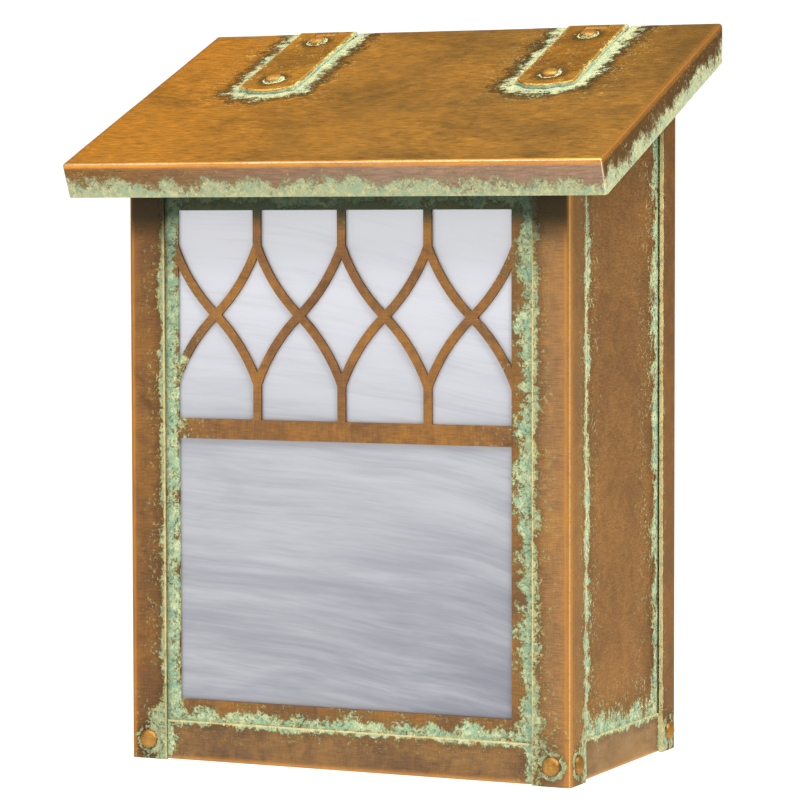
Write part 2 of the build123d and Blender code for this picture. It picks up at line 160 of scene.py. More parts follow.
# ---- material fields --------------------------------------------------------------------------------
class Field:
    """A number that varies over a surface, held as one output of a material's nodes."""

    def __init__(self, tree: bpy.types.NodeTree, socket: bpy.types.NodeSocket) -> None:
        """Keeps the tree and the socket that gives the number."""
        self.tree = tree
        self.socket = socket

    def math(self, operation: str, *others: "Field | float") -> "Field":
        """Works out one operation on this number.

        Args:
            operation: The name of the operation.
            others: The operation's other numbers.

        Returns:
            The result as a new field.
        """
        node = self.tree.nodes.new("ShaderNodeMath")
        node.operation = operation
        for entry, value in zip(node.inputs, (self, *others)):
            if isinstance(value, Field):
                self.tree.links.new(value.socket, entry)
            else:
                entry.default_value = value
        return Field(self.tree, node.outputs[0])

    def __add__(self, other: "Field | float") -> "Field":
        """Adds a number."""
        return self.math("ADD", other)

    def __sub__(self, other: "Field | float") -> "Field":
        """Takes a number away."""
        return self.math("SUBTRACT", other)

    def __mul__(self, other: "Field | float") -> "Field":
        """Multiplies by a number."""
        return self.math("MULTIPLY", other)

    def __truediv__(self, other: "Field | float") -> "Field":
        """Divides by a number."""
        return self.math("DIVIDE", other)

    def __rsub__(self, other: float) -> "Field":
        """Takes this field away from a number."""
        return self.math("MULTIPLY_ADD", -1.0, other)

    __radd__ = __add__
    __rmul__ = __mul__

    def size(self) -> "Field":
        """The number without its sign."""
        return self.math("ABSOLUTE")

    def either(self, other: "Field | float", blend: float = 0.0) -> "Field":
        """The larger of two numbers, rounded off where they are within blend of each other."""
        return self.math("SMOOTH_MAX", other, blend) if blend else self.math("MAXIMUM", other)

    def both(self, other: "Field | float") -> "Field":
        """The smaller of two numbers."""
        return self.math("MINIMUM", other)

    def rise(self, low: float, high: float) -> "Field":
        """Eases from 0 at low to 1 at high, and stays there. High may be the smaller number.

        Args:
            low: The number that gives 0.
            high: The number that gives 1.

        Returns:
            The eased number.
        """
        node = self.tree.nodes.new("ShaderNodeMapRange")
        node.interpolation_type = "SMOOTHSTEP"
        self.tree.links.new(self.socket, node.inputs["Value"])
        turned = low > high
        node.inputs["From Min"].default_value = min(low, high)
        node.inputs["From Max"].default_value = max(low, high)
        node.inputs["To Min"].default_value = 1.0 if turned else 0.0
        node.inputs["To Max"].default_value = 0.0 if turned else 1.0
        return Field(self.tree, node.outputs["Result"])

    def band(self, depth: float, width: "Field | float") -> "Field":
        """Turns the distance from a seam into the reach of the green that grows from it.

        Args:
            depth: The reach at the seam itself.
            width: How many millimetres take one off the reach.

        Returns:
            The reach, which is 0 where the green ends.
        """
        return depth - self / width


class Tint:
    """A colour that varies over a surface, held as one output of a material's nodes."""

    def __init__(self, tree: bpy.types.NodeTree, socket: bpy.types.NodeSocket) -> None:
        """Keeps the tree and the socket that gives the colour."""
        self.tree = tree
        self.socket = socket

    def under(self, colour: "Tint | str", amount: "Field | float") -> "Tint":
        """Lays another colour over this one.

        Args:
            colour: The upper colour.
            amount: How much of it covers, from 0 to 1.

        Returns:
            The mixed colour.
        """
        node = self.tree.nodes.new("ShaderNodeMix")
        node.data_type = "RGBA"
        factor, lower, upper = node.inputs[0], node.inputs[6], node.inputs[7]
        self.tree.links.new(self.socket, lower)
        if isinstance(colour, Tint):
            self.tree.links.new(colour.socket, upper)
        else:
            upper.default_value = linear(colour)
        if isinstance(amount, Field):
            self.tree.links.new(amount.socket, factor)
        else:
            factor.default_value = amount
        return Tint(self.tree, node.outputs[2])

    def lit(self, amount: Field) -> "Tint":
        """Makes the colour lighter or darker by a factor.

        Args:
            amount: The factor, which is 1 for no change.

        Returns:
            The changed colour.
        """
        node = self.tree.nodes.new("ShaderNodeVectorMath")
        node.operation = "SCALE"
        self.tree.links.new(self.socket, node.inputs[0])
        self.tree.links.new(amount.socket, node.inputs["Scale"])
        return Tint(self.tree, node.outputs[0])


class Surface:
    """The nodes of one material. x, y and z are the place on the object, in millimetres.

    On a sloping piece, up_slope and square are the place in the lid's own axes.
    """

    def __init__(self, name: str, sloping: bool = False) -> None:
        """Starts a material with that name.

        Args:
            name: The material's name.
            sloping: Whether the noise runs along the lid's own axes.
        """
        self.material = bpy.data.materials.new(name)
        self.material.use_nodes = True
        self.tree = self.material.node_tree
        self.shader = self.tree.nodes["Principled BSDF"]
        self.place = self.tree.nodes.new("ShaderNodeTexCoord").outputs["Object"]
        self.x, self.y, self.z = self.parts(self.place)
        self.grain_place = self.place
        if sloping:
            turn = self.tree.nodes.new("ShaderNodeVectorRotate")
            turn.rotation_type = "X_AXIS"
            turn.inputs["Angle"].default_value = -math.radians(LID_PITCH)
            self.tree.links.new(self.place, turn.inputs["Vector"])
            self.grain_place = turn.outputs[0]
        self.up_slope, self.square = self.parts(self.grain_place)[1:]

    def parts(self, vector: bpy.types.NodeSocket) -> tuple[Field, Field, Field]:
        """Splits a place into its three distances, in millimetres.

        Args:
            vector: The output that gives the place, in metres.

        Returns:
            The distances along X, Y and Z.
        """
        split = self.tree.nodes.new("ShaderNodeSeparateXYZ")
        self.tree.links.new(vector, split.inputs[0])
        return tuple(Field(self.tree, out) * METRE for out in split.outputs)

    def noise(
        self,
        grain: float | tuple[float, float, float],
        detail: float = 3.0,
        rough: float = 0.5,
        twist: float = 0.0,
        shift: float = 0.0,
    ) -> Field:
        """Makes cloudy noise around 0.5.

        Args:
            grain: The size of the clouds in millimetres, the same all ways or along X, Y and Z.
            detail: How many finer layers are added.
            rough: How strong each finer layer is.
            twist: How far the clouds are pulled out of shape.
            shift: A number that picks another part of the noise.

        Returns:
            The noise.
        """
        sizes = grain if isinstance(grain, tuple) else (grain,) * 3
        mapping = self.tree.nodes.new("ShaderNodeMapping")
        mapping.inputs["Scale"].default_value = [METRE / size for size in sizes]
        mapping.inputs["Location"].default_value = (shift, 1.7 * shift, 2.9 * shift)
        self.tree.links.new(self.grain_place, mapping.inputs["Vector"])
        node = self.tree.nodes.new("ShaderNodeTexNoise")
        node.inputs["Scale"].default_value = 1.0
        node.inputs["Detail"].default_value = detail
        node.inputs["Roughness"].default_value = rough
        node.inputs["Distortion"].default_value = twist
        self.tree.links.new(mapping.outputs[0], node.inputs["Vector"])
        return Field(self.tree, node.outputs[0])

    def strokes(self, across: Field, along: Field, detail: float, rough: float) -> Field:
        """Makes noise in long strokes that follow a bent line.

        Args:
            across: The distance across the strokes, in strokes.
            along: The distance along them, in stroke lengths.
            detail: How many finer layers are added.
            rough: How strong each finer layer is.

        Returns:
            The noise, around 0.5.
        """
        bent = self.tree.nodes.new("ShaderNodeCombineXYZ")
        self.tree.links.new(along.socket, bent.inputs["X"])
        self.tree.links.new(across.socket, bent.inputs["Y"])
        node = self.tree.nodes.new("ShaderNodeTexNoise")
        node.inputs["Scale"].default_value = 1.0
        node.inputs["Detail"].default_value = detail
        node.inputs["Roughness"].default_value = rough
        self.tree.links.new(bent.outputs[0], node.inputs["Vector"])
        return Field(self.tree, node.outputs[0])

    def colour(self, code: str) -> Tint:
        """A plain colour to lay others over.

        Args:
            code: Six hexadecimal digits, red first.

        Returns:
            The colour.
        """
        node = self.tree.nodes.new("ShaderNodeRGB")
        node.outputs[0].default_value = linear(code)
        return Tint(self.tree, node.outputs[0])

    def even(self, value: float) -> Field:
        """The same number everywhere.

        Args:
            value: The number.

        Returns:
            The number as a field.
        """
        node = self.tree.nodes.new("ShaderNodeValue")
        node.outputs[0].default_value = value
        return Field(self.tree, node.outputs[0])

    def off_side_seams(self, inset: float = 0.0) -> Field:
        """How far a point is from the nearer seam of a side panel, with the front seam set back."""
        return (self.y - (EDGES.post_rear + inset)).size().both((self.y - EDGES.back_front).size())

    def away_from(self, place: Vector) -> Field:
        """How far a point is from a place, in millimetres.

        Args:
            place: The place, in millimetres.

        Returns:
            The distance.
        """
        node = self.tree.nodes.new("ShaderNodeVectorMath")
        node.operation = "DISTANCE"
        node.inputs[1].default_value = place / METRE
        self.tree.links.new(self.place, node.inputs[0])
        return Field(self.tree, node.outputs["Value"]) * METRE

    def away_from_all(self, places: tuple[Vector, ...]) -> Field:
        """How far a point is from the nearest of some places, in millimetres.

        Args:
            places: The places, in millimetres, one at least.

        Returns:
            The shortest distance.
        """
        nearest = self.away_from(places[0])
        for place in places[1:]:
            nearest = nearest.both(self.away_from(place))
        return nearest

    def drive(self, name: str, value: Field | Tint) -> None:
        """Joins a field or colour to one of the shader's inputs."""
        self.tree.links.new(value.socket, self.shader.inputs[name])

    def emboss(self, height: Field) -> None:
        """Raises the surface by a height in millimetres.

        Args:
            height: The height.
        """
        bump = self.tree.nodes.new("ShaderNodeBump")
        bump.inputs["Strength"].default_value = 1.0
        bump.inputs["Distance"].default_value = 1 / METRE
        self.tree.links.new(height.socket, bump.inputs["Height"])
        self.tree.links.new(bump.outputs[0], self.shader.inputs["Normal"])


# ---- finishes ---------------------------------------------------------------------------------------
@dataclass(frozen=True)
class Verdigris:
    """The colours of the green crust: its body, where it is wet, chalky or thin, and its grit."""

    body: str = "9fb28b"
    wet: str = "7fa68c"
    chalky: str = "c6cda2"
    thin: str = "b0a562"
    grit: str = "5b6045"


@dataclass(frozen=True)
class AgedBrass:
    """Brown brass sheet with verdigris along its seams and bare metal on its worn folds."""

    name: str
    grain: Grain = Grain.ALONG_FRONT
    sloping: bool = False
    amber: str = "946837"
    brown: str = "775538"
    umber: str = "4a3525"
    bare: str = "cf8838"
    # the colour of the painted highlight along folds and cut edges
    highlight_gold: str = "d9bf86"
    # the soot round the green, also laid as painted shade under the lid
    soot: str = "2d281c"
    sheen: str = "e8d2b2"
    fringe: float = 0.25           # how dark the soot round the green is
    flecks: float = 0.9            # how strong the specks of green beyond its edge are
    smudges: float = 0.4           # how strong the dark smudges are
    evenness: float = 0.1          # how softly amber and brown run into each other
    softness: float = 0.3          # how softly the green ends
    dullness: float = 0.43         # the roughness of the bare brass
    contrast: float = 1.4          # how strongly the brushing shows
    weave: float = 0.4             # the share of the brushing that runs across
    green: Verdigris = Verdigris()
    shift: float = 0.0             # picks another part of the noise
    metalness: float = 0.82
    specular: float = 0.35
    sway: float = 3.4              # how far clouds move the edge of the green, in reach
    tear: float = 3.4              # how far fine noise tears that edge
    soot_tear: float = 5.0         # how far it tears the edge of the soot
    crust_height: float = 0.09
    grit_height: float = 0.1
    scratch_height: float = 0.02

    def reach(self, s: Surface) -> Field:
        """How far inside the verdigris a point is: 1 at a seam, 0 at the end of its band."""
        return s.even(-5.0)

    def wear(self, s: Surface) -> Field:
        """How bare the metal is rubbed, from 0 to 1."""
        return s.even(0.0)

    def line(self, s: Surface) -> Field:
        """Where a painted highlight shows as a pale golden line along a fold or a cut edge, from 0 to 1."""
        return s.even(0.0)

    def stain_and_shade(self, s: Surface) -> Field:
        """How dark the sheet is made by stains, and at a rivet's foot by painted shade, from 0 to 1."""
        return s.even(0.0)

    def shade_and_soot(self, s: Surface) -> Field:
        """How much painted shade and soot lie on metal and green alike, from 0 to 1."""
        return s.even(0.0)

    def metal(self, s: Surface) -> Tint:
        """The brown metal itself, mottled and smudged.

        Args:
            s: The surface.

        Returns:
            The colour of the metal.
        """
        cloud = s.noise(42.0, detail=5.0, rough=0.6, twist=0.4, shift=3.1 + self.shift)
        mottle = s.noise(8.0, detail=6.0, rough=0.7, twist=0.5, shift=7.7 + self.shift)
        smudge = s.noise((24.0, 16.0, 16.0), detail=6.0, rough=0.66, twist=1.0, shift=15.2 + self.shift)
        blend = (cloud * 0.55 + mottle * 0.45).rise(0.5 - self.evenness, 0.5 + self.evenness)
        colour = s.colour(self.brown).under(self.amber, blend)
        colour = colour.under(self.umber, smudge.rise(0.55, 0.75) * self.smudges)
        # Stains, and at a rivet's foot painted shade, in umber.
        return colour.under(self.umber, self.stain_and_shade(s))

    def scratches(self, s: Surface) -> Field:
        """Fine brushing around 0.5, with a weaker cross weave.

        Args:
            s: The surface.

        Returns:
            The brushing.
        """
        length = max(self.grain.value)
        along = s.noise(self.grain.value, detail=2.0, rough=0.6, shift=21.0)
        across = s.noise((0.5, 0.5, length), detail=2.0, rough=0.6, shift=27.0)
        return along * (1.0 - self.weave) + across * self.weave

    def rubbed(self, s: Surface, grain: float | tuple[float, float, float]) -> Field:
        """How evenly a fold is rubbed, from 0.5 to 1."""
        return s.noise(grain, rough=0.6, shift=71.0).rise(0.25, 0.6) * 0.5 + 0.5

    def edge_soot(self, s: Surface) -> Field:
        """How dark the fringe round the green is, from 0 to 1."""
        return s.even(self.fringe)

    def crust(self, s: Surface, ragged: Field) -> Tint:
        """The colours inside the verdigris, thin and olive towards its ragged edge.

        Args:
            s: The surface.
            ragged: The reach with its edge torn.

        Returns:
            The colour of the crust.
        """
        tone = s.noise(4.2, detail=5.0, rough=0.68, twist=0.6, shift=41.0 + self.shift)
        patch = s.noise(9.0, rough=0.6, twist=0.3, shift=45.0 + self.shift)
        chip = s.noise((1.6, 1.6, 2.6), rough=0.7, twist=0.9, shift=52.0)
        speck = s.noise(0.9, detail=2.0, rough=0.6, shift=57.0)
        colour = s.colour(self.green.body).under(self.green.wet, tone.rise(0.53, 0.4) * 0.85)
        colour = colour.under(self.green.chalky, (tone * 0.5 + chip * 0.5).rise(0.5, 0.6) * 0.9)
        colour = colour.under(self.green.thin, ragged.rise(0.75, 0.05) * patch.rise(0.3, 0.6) * 0.8)
        colour = colour.under(self.green.grit, chip.rise(0.42, 0.32) * 0.65)
        return colour.lit(speck * 0.7 + 0.65)

    def growth(self, s: Surface) -> tuple[Field, Field, Field]:
        """Works out where the verdigris and the soot round it lie.

        Args:
            s: The surface.

        Returns:
            The reach with its edge torn, and how much the green and the soot cover, from 0 to 1.
        """
        reach = self.reach(s)
        coarse = s.noise(10.0, rough=0.55, twist=0.4, shift=1.3 + self.shift)
        torn = s.noise(2.4, detail=6.0, rough=0.8, twist=0.8, shift=5.9 + self.shift)
        swayed = reach + (coarse - 0.5) * self.sway
        ragged = swayed + (torn - 0.5) * self.tear
        holes = s.noise(1.9, detail=5.0, rough=0.75, twist=0.6, shift=12.5 + self.shift).rise(0.53, 0.59)
        green = ragged.rise(0.0, self.softness) * (1.0 - holes * ragged.rise(2.0, 0.2) * 0.95)
        spatter = s.noise(1.5, rough=0.6, twist=0.6, shift=17.0 + self.shift).rise(0.585, 0.625)
        zone = reach.rise(-4.5, 0.2) * coarse.rise(0.4, 0.54)
        soot = (swayed + (torn - 0.5) * self.soot_tear).rise(-1.3, 0.1) * self.edge_soot(s)
        return ragged, green.either(spatter * zone * self.flecks), soot

    def dress(self) -> bpy.types.Material:
        """Builds the material.

        Returns:
            The finished material.
        """
        s = Surface(self.name, self.sloping)
        ragged, green, soot = self.growth(s)
        scratches = self.scratches(s)
        wear = self.wear(s)
        # Painted highlight: a pale golden line along the folds and cut edges, broken up by noise.
        line = self.line(s) * (s.noise(1.8, rough=0.6, twist=0.4, shift=67.0).rise(0.35, 0.5) * 0.5 + 0.5)

        colour = self.metal(s).lit((scratches - 0.5) * self.contrast + 1.0)
        colour = colour.under(self.bare, wear).under(self.soot, soot)
        colour = colour.under(self.crust(s, ragged), green).under(self.highlight_gold, line)
        # Painted shade under the lid, with some soot, over metal and green alike.
        colour = colour.under(self.soot, self.shade_and_soot(s))
        s.drive("Base Color", colour)
        s.drive("Metallic", self.metalness - green * self.metalness)
        s.drive("Roughness", self.dullness + (scratches - 0.5) * 0.3 - wear * 0.14 + green * 0.35)
        grit = s.noise(1.1, rough=0.65, shift=63.0)
        crust = green * self.crust_height + grit * green * self.grit_height
        s.emboss(crust + scratches * self.scratch_height)
        s.shader.inputs["Specular IOR Level"].default_value = self.specular
        s.shader.inputs["Specular Tint"].default_value = linear(self.sheen)
        return s.material


@dataclass(frozen=True)
class PanelBrass(AgedBrass):
    """The pierced front panel, green along the posts, along the base and high under the lid."""

    fringe: float = 0.2
    flecks: float = 0.7
    smudges: float = 0.6
    contrast: float = 1.9
    # dark green for the soot round the green and for the painted shade under the lid
    soot: str = "20372b"

    def reach(self, s: Surface) -> Field:
        """Green grows in from the posts, up from the base and down from the lid.

        Args:
            s: The surface.

        Returns:
            The reach, which is 0 where the green ends.
        """
        sides = (EDGES.post_inner - s.x.size()).band(1.3, 7.0)
        base = (s.z - EDGES.tray_top).band(1.2, 5.4)
        eave = (EDGES.eave - s.z).band(0.8, 5.5)
        return sides.either(base, 0.6).either(eave, 0.4)

    def shade_and_soot(self, s: Surface) -> Field:
        """Painted shade of the lid's overhang, with some soot, darkens the panel under the lid."""
        return (s.z - EDGES.eave).rise(-17.0, -6.0) * 0.86


@dataclass(frozen=True)
class SideBrass(AgedBrass):
    """A side panel, green along the posts and licking up from the base."""

    amber: str = "9d7143"
    brown: str = "7e5b3c"
    smudges: float = 0.22
    evenness: float = 0.18
    contrast: float = 2.0
    hidden: float = 6.2            # how far the thickness of the post hides the green behind it

    def reach(self, s: Surface) -> Field:
        """Green grows in from both posts and up from the base.

        Args:
            s: The surface.

        Returns:
            The reach, which is 0 where the green ends.
        """
        front = (s.y - EDGES.post_rear - self.hidden).band(1.0, 5.0)
        rear = (EDGES.back_front - s.y).band(1.0, 7.5)
        lick = s.noise((4.0, 2.4, 16.0), detail=4.0, rough=0.6, twist=0.2, shift=61.0)
        base = (s.z - EDGES.tray_top).band(1.15, 7.0) + (lick - 0.5) * 1.1
        return front.either(rear).either(base, 1.0)


@dataclass(frozen=True)
class PostBrass(AgedBrass):
    """A front post or a back plate flange, with a bright fold and green along its cut edges."""

    pale: str = "b48e62"
    smudges: float = 0.6
    contrast: float = 1.9
    weave: float = 0.3
    green: Verdigris = Verdigris("969c76", "809877", "b4b98c", "a89c52", "565a40")
    ring: float = 1.1              # how far the green round a rivet spreads
    seam: float = 2.5              # and how far it spreads from the cut edges at the side
    ring_radius: float = 5.7       # the middle of that ring
    rivets: tuple[Vector, ...] = ()

    def metal(self, s: Surface) -> Tint:
        """The right hand corner is paler, and the left hand one darker.

        Args:
            s: The surface.

        Returns:
            The colour of the metal.
        """
        colour = super().metal(s).under(self.umber, s.x.rise(-60.0, -112.0) * 0.33)
        colour = colour.under(self.pale, s.x.rise(60.0, 112.0) * 0.26)
        return colour.under(self.umber, (s.x.size() - EDGES.post_inner).rise(9.0, 1.0) * 0.3)

    def reach(self, s: Surface) -> Field:
        """A thin line at each cut edge that widens near the base, and a ring round each rivet.

        Args:
            s: The surface.

        Returns:
            The reach, which is 0 where the green ends.
        """
        on_front = (s.y - EDGES.post_front).rise(1.4, 0.5)
        low = s.z.rise(-140.0, -158.0)
        inner = (s.x.size() - EDGES.post_inner).band(0.95, low * 5.0 + 3.1)
        edge = inner * on_front - (1.0 - on_front) * 5.0
        legs = s.off_side_seams().band(1.0, low * 3.0 + self.seam)
        reach = edge.either(legs - on_front * 5.0)
        patchy = s.noise(5.5, rough=0.6, twist=0.8, shift=35.0).rise(0.56, 0.42) * 1.6
        for foot in self.rivets:
            ring = (s.away_from(foot) - self.ring_radius).size().band(1.7, self.ring)
            reach = reach.either(ring - patchy, 0.5)
        return reach

    def off_fold(self, s: Surface) -> Field:
        """How far a point is from the folded corner."""
        return (EDGES.post_outer - s.x.size()).either(s.y - EDGES.post_front)

    def line(self, s: Surface) -> Field:
        """The fold and the cut edges catch the light.

        Args:
            s: The surface.

        Returns:
            How strongly the line shows, from 0 to 1.
        """
        inner = (s.x.size() - EDGES.post_inner) + (s.y - EDGES.post_front).rise(1.0, 2.4) * 5.0
        cut = inner.both(s.off_side_seams()).rise(0.9, 0.3) * (1.0 - s.z.rise(-110.0, -150.0) * 0.55)
        return self.off_fold(s).rise(1.1, 0.75).either(cut) * 0.75

    def wear(self, s: Surface) -> Field:
        """The folded corner is rubbed bright."""
        fold = self.off_fold(s)
        return (fold.rise(3.8, 1.8) * 0.5 + fold.rise(8.0, 3.0) * 0.1) * self.rubbed(s, (3.0, 3.0, 30.0))

    def shade_and_soot(self, s: Surface) -> Field:
        """Painted shade of the lid's overhang, with some soot, darkens the front under the lid, but not the
        rubbed fold.
        """
        under = (s.z - EDGES.eave).rise(-26.0, -8.0) * (s.y - EDGES.post_front).rise(3.0, 0.5)
        return under * (EDGES.post_outer - s.x.size()).rise(0.5, 2.4) * 0.95

    def stain_and_shade(self, s: Surface) -> Field:
        """The sheet darkens round the rivets."""
        return s.away_from_all(self.rivets).rise(13.0, 5.5) * 0.8


@dataclass(frozen=True)
class BackBrass(PostBrass):
    """The back plate: green near the edges of its flanges and at its rivets, dull behind."""

    pale: str = "7e5b3c"
    smudges: float = 0.4
    ring: float = 2.4
    seam: float = 1.3

    def line(self, s: Surface) -> Field:
        """The cut front edges of the flanges catch the light."""
        return (s.y - EDGES.back_front).size().rise(0.9, 0.3) * 0.75

    def off_fold(self, s: Surface) -> Field:
        """How far a point is from the fold at the wall."""
        return (EDGES.post_outer - s.x.size()).either(s.y * -1.0)

    def wear(self, s: Surface) -> Field:
        """The folds at the wall are rubbed bright."""
        return self.off_fold(s).rise(3.6, 1.4) * self.rubbed(s, (3.0, 3.0, 30.0)) * 0.7


@dataclass(frozen=True)
class BaseBrass(AgedBrass):
    """The base tray: green along its top edge and at the posts, bare along the bottom fold."""

    amber: str = "8a6740"
    brown: str = "6c523b"
    pale: str = "b0906a"
    flecks: float = 0.55
    hidden: float = 3.4            # how far the thickness of the post hides the green behind it

    def on_side(self, s: Surface) -> Field:
        """Whether a point is on a side flange, from 0 to 1."""
        return (s.y - EDGES.tray_front).rise(1.0, 6.0)

    def reach(self, s: Surface) -> Field:
        """Green hangs from the top edge and grows out from the posts.

        Args:
            s: The surface.

        Returns:
            The reach, which is 0 where the green ends.
        """
        on_front = (s.y - EDGES.tray_front).rise(1.4, 0.5)
        top = (EDGES.tray_top - s.z).band(0.9, 2.8)
        sides = (EDGES.post_inner - s.x.size()).size().band(1.0, 4.2) * on_front - (1.0 - on_front) * 4.0
        legs = s.off_side_seams(self.hidden).band(0.8, 2.2)
        return top.either(sides, 0.5).either(legs - on_front * 5.0)

    def metal(self, s: Surface) -> Tint:
        """The side flanges are paler than the front one."""
        cloud = s.noise((30.0, 30.0, 9.0), rough=0.6, twist=0.3, shift=33.0).rise(0.3, 0.7) * 0.4 + 0.3
        return super().metal(s).under(self.pale, self.on_side(s) * cloud)

    def line(self, s: Surface) -> Field:
        """The cut top edge catches the light."""
        return (EDGES.tray_top - s.z).rise(0.9, 0.4) * (0.85 - self.on_side(s) * 0.45)

    def wear(self, s: Surface) -> Field:
        """The bottom fold is rubbed bright."""
        return (s.z - EDGES.tray_bottom).rise(3.4, 1.0) * 0.35

    def stain_and_shade(self, s: Surface) -> Field:
        """The side flanges darken towards the front posts and under their top edge."""
        near_post = (s.y - EDGES.post_rear).rise(26.0, 3.0)
        return near_post.either((EDGES.tray_top - s.z).rise(7.0, 1.0) * 0.7) * self.on_side(s) * 0.7


@dataclass(frozen=True)
class LidBrass(AgedBrass):
    """The lid: golden on top, green round the straps and on the lower part of the lips."""

    sloping: bool = True
    amber: str = "bc8538"
    brown: str = "976f36"
    umber: str = "574325"
    # the colour of the painted glow of light on the left of the top
    painted_glow: str = "e4962c"
    lip_dark: str = "62472f"
    lip_rose: str = "866e60"
    highlight_gold: str = "f2dcb8"
    fringe: float = 0.75
    lip_fringe: float = 0.15
    flecks: float = 0.5
    smudges: float = 0.1
    evenness: float = 0.16
    softness: float = 0.9
    contrast: float = 1.65
    weave: float = 0.12
    green: Verdigris = Verdigris("a2a47c", "8ba286", "b8b88b", "a89a55", "8a8560")
    top: float = 0.0               # this and the next six come from the frame, in the lid's own axes
    front: float = 0.0
    half_width: float = 0.0
    straps: tuple[float, float] = (0.0, 0.0)
    strap_half: float = 1.0
    strap_front: float = 0.0
    strap_bow: float = 0.0

    def off_strap(self, s: Surface) -> Field:
        """How far a point on the top is from the nearer strap.

        Args:
            s: The surface.

        Returns:
            The distance, in millimetres.
        """
        across = (s.x - self.straps[0]).size().both((s.x - self.straps[1]).size())
        bow = (across / self.strap_half).math("POWER", 2.0).both(1.5) * self.strap_bow
        return (across - self.strap_half).either(self.strap_front + bow - s.up_slope, 7.0)

    def depth(self, s: Surface) -> Field:
        """How far a point is below the top."""
        return self.top - s.square

    def reach(self, s: Surface) -> Field:
        """Green spreads round the straps and climbs the lips from their lower edge.

        Args:
            s: The surface.

        Returns:
            The reach, which is 0 where the green ends.
        """
        depth = self.depth(s)
        swell = s.noise(22.0, detail=2.0, shift=81.0)
        feather = s.noise((7.0, 1.3, 3.0), detail=4.0, rough=0.65, shift=85.0)
        ring = self.off_strap(s).band(1.7, 5.0) + (feather - 0.5) * 2.6 - depth.rise(0.5, 1.1) * 9.0
        lip = (depth - 7.8) / 4.6 + (swell - 0.5) * 2.4 - depth.rise(2.4, 1.0) * 3.0
        return ring.either(lip)

    def metal(self, s: Surface) -> Tint:
        """The top has a painted glow of warm light towards the left, and the lips are a dull rose brown.

        Args:
            s: The surface.

        Returns:
            The colour of the metal.
        """
        streak = s.noise((30.0, 2.2, 3.0), detail=5.0, rough=0.7, twist=0.2, shift=91.0)
        speck = s.noise((3.0, 0.9, 1.0), rough=0.7, twist=0.3, shift=95.0)
        cloud = s.noise((48.0, 30.0, 30.0), detail=7.0, rough=0.72, twist=0.5, shift=98.0)
        # Painted glow: warm reflected light laid on the left of the top.
        colour = super().metal(s).under(self.painted_glow, s.x.rise(20.0, -125.0) * 0.6)
        colour = colour.under(self.umber, (streak * 0.6 + speck * 0.4).rise(0.46, 0.66) * 0.34)
        colour = colour.under(self.umber, cloud.rise(0.48, 0.68) * 0.42)
        colour = colour.under(self.umber, s.x.rise(60.0, 140.0) * s.up_slope.rise(-40.0, 40.0) * 0.35)
        on_lip = self.depth(s).rise(1.5, 2.6) * 0.85
        on_front = (s.up_slope - self.front).rise(2.0, 1.0)
        lip = s.colour(self.lip_dark).under(self.lip_rose, on_front * s.x.rise(-140.0, 40.0))
        return colour.under(lip, on_lip)

    def edge_soot(self, s: Surface) -> Field:
        """The green is ringed dark on the top, and hardly at all on the lips."""
        return self.depth(s).rise(2.0, 1.0) * (self.fringe - self.lip_fringe) + self.lip_fringe

    def fold(self, s: Surface) -> Field:
        """How far a point is from the middle of the nearest fold, more or less."""
        edge = (self.half_width - s.x.size()).both(s.up_slope - self.front)
        return edge.either(self.depth(s))

    def line(self, s: Surface) -> Field:
        """The front fold catches the light, and the side folds less.

        Args:
            s: The surface.

        Returns:
            How strongly the line shows, from 0 to 1.
        """
        on_front = (s.up_slope - self.front).rise(2.0, 1.4)
        across = self.half_width - s.x.size()
        ahead = s.up_slope - self.front
        mitre = (across - ahead).size().rise(0.6, 0.25) * across.either(ahead).rise(1.6, 1.0)
        mitre = mitre * self.depth(s).rise(1.4, 2.0) * 0.6
        return (self.fold(s).rise(1.05, 0.75) * (on_front * 0.8 + 0.15)).either(mitre)

    def wear(self, s: Surface) -> Field:
        """The folds at the edge of the top are rubbed bright."""
        return self.fold(s).rise(3.6, 1.6) * self.rubbed(s, 5.0) * 0.7

    def stain_and_shade(self, s: Surface) -> Field:
        """The sheet is dark beside the straps."""
        return self.off_strap(s).rise(13.0, 5.0) * self.depth(s).rise(2.0, 1.0) * 0.5


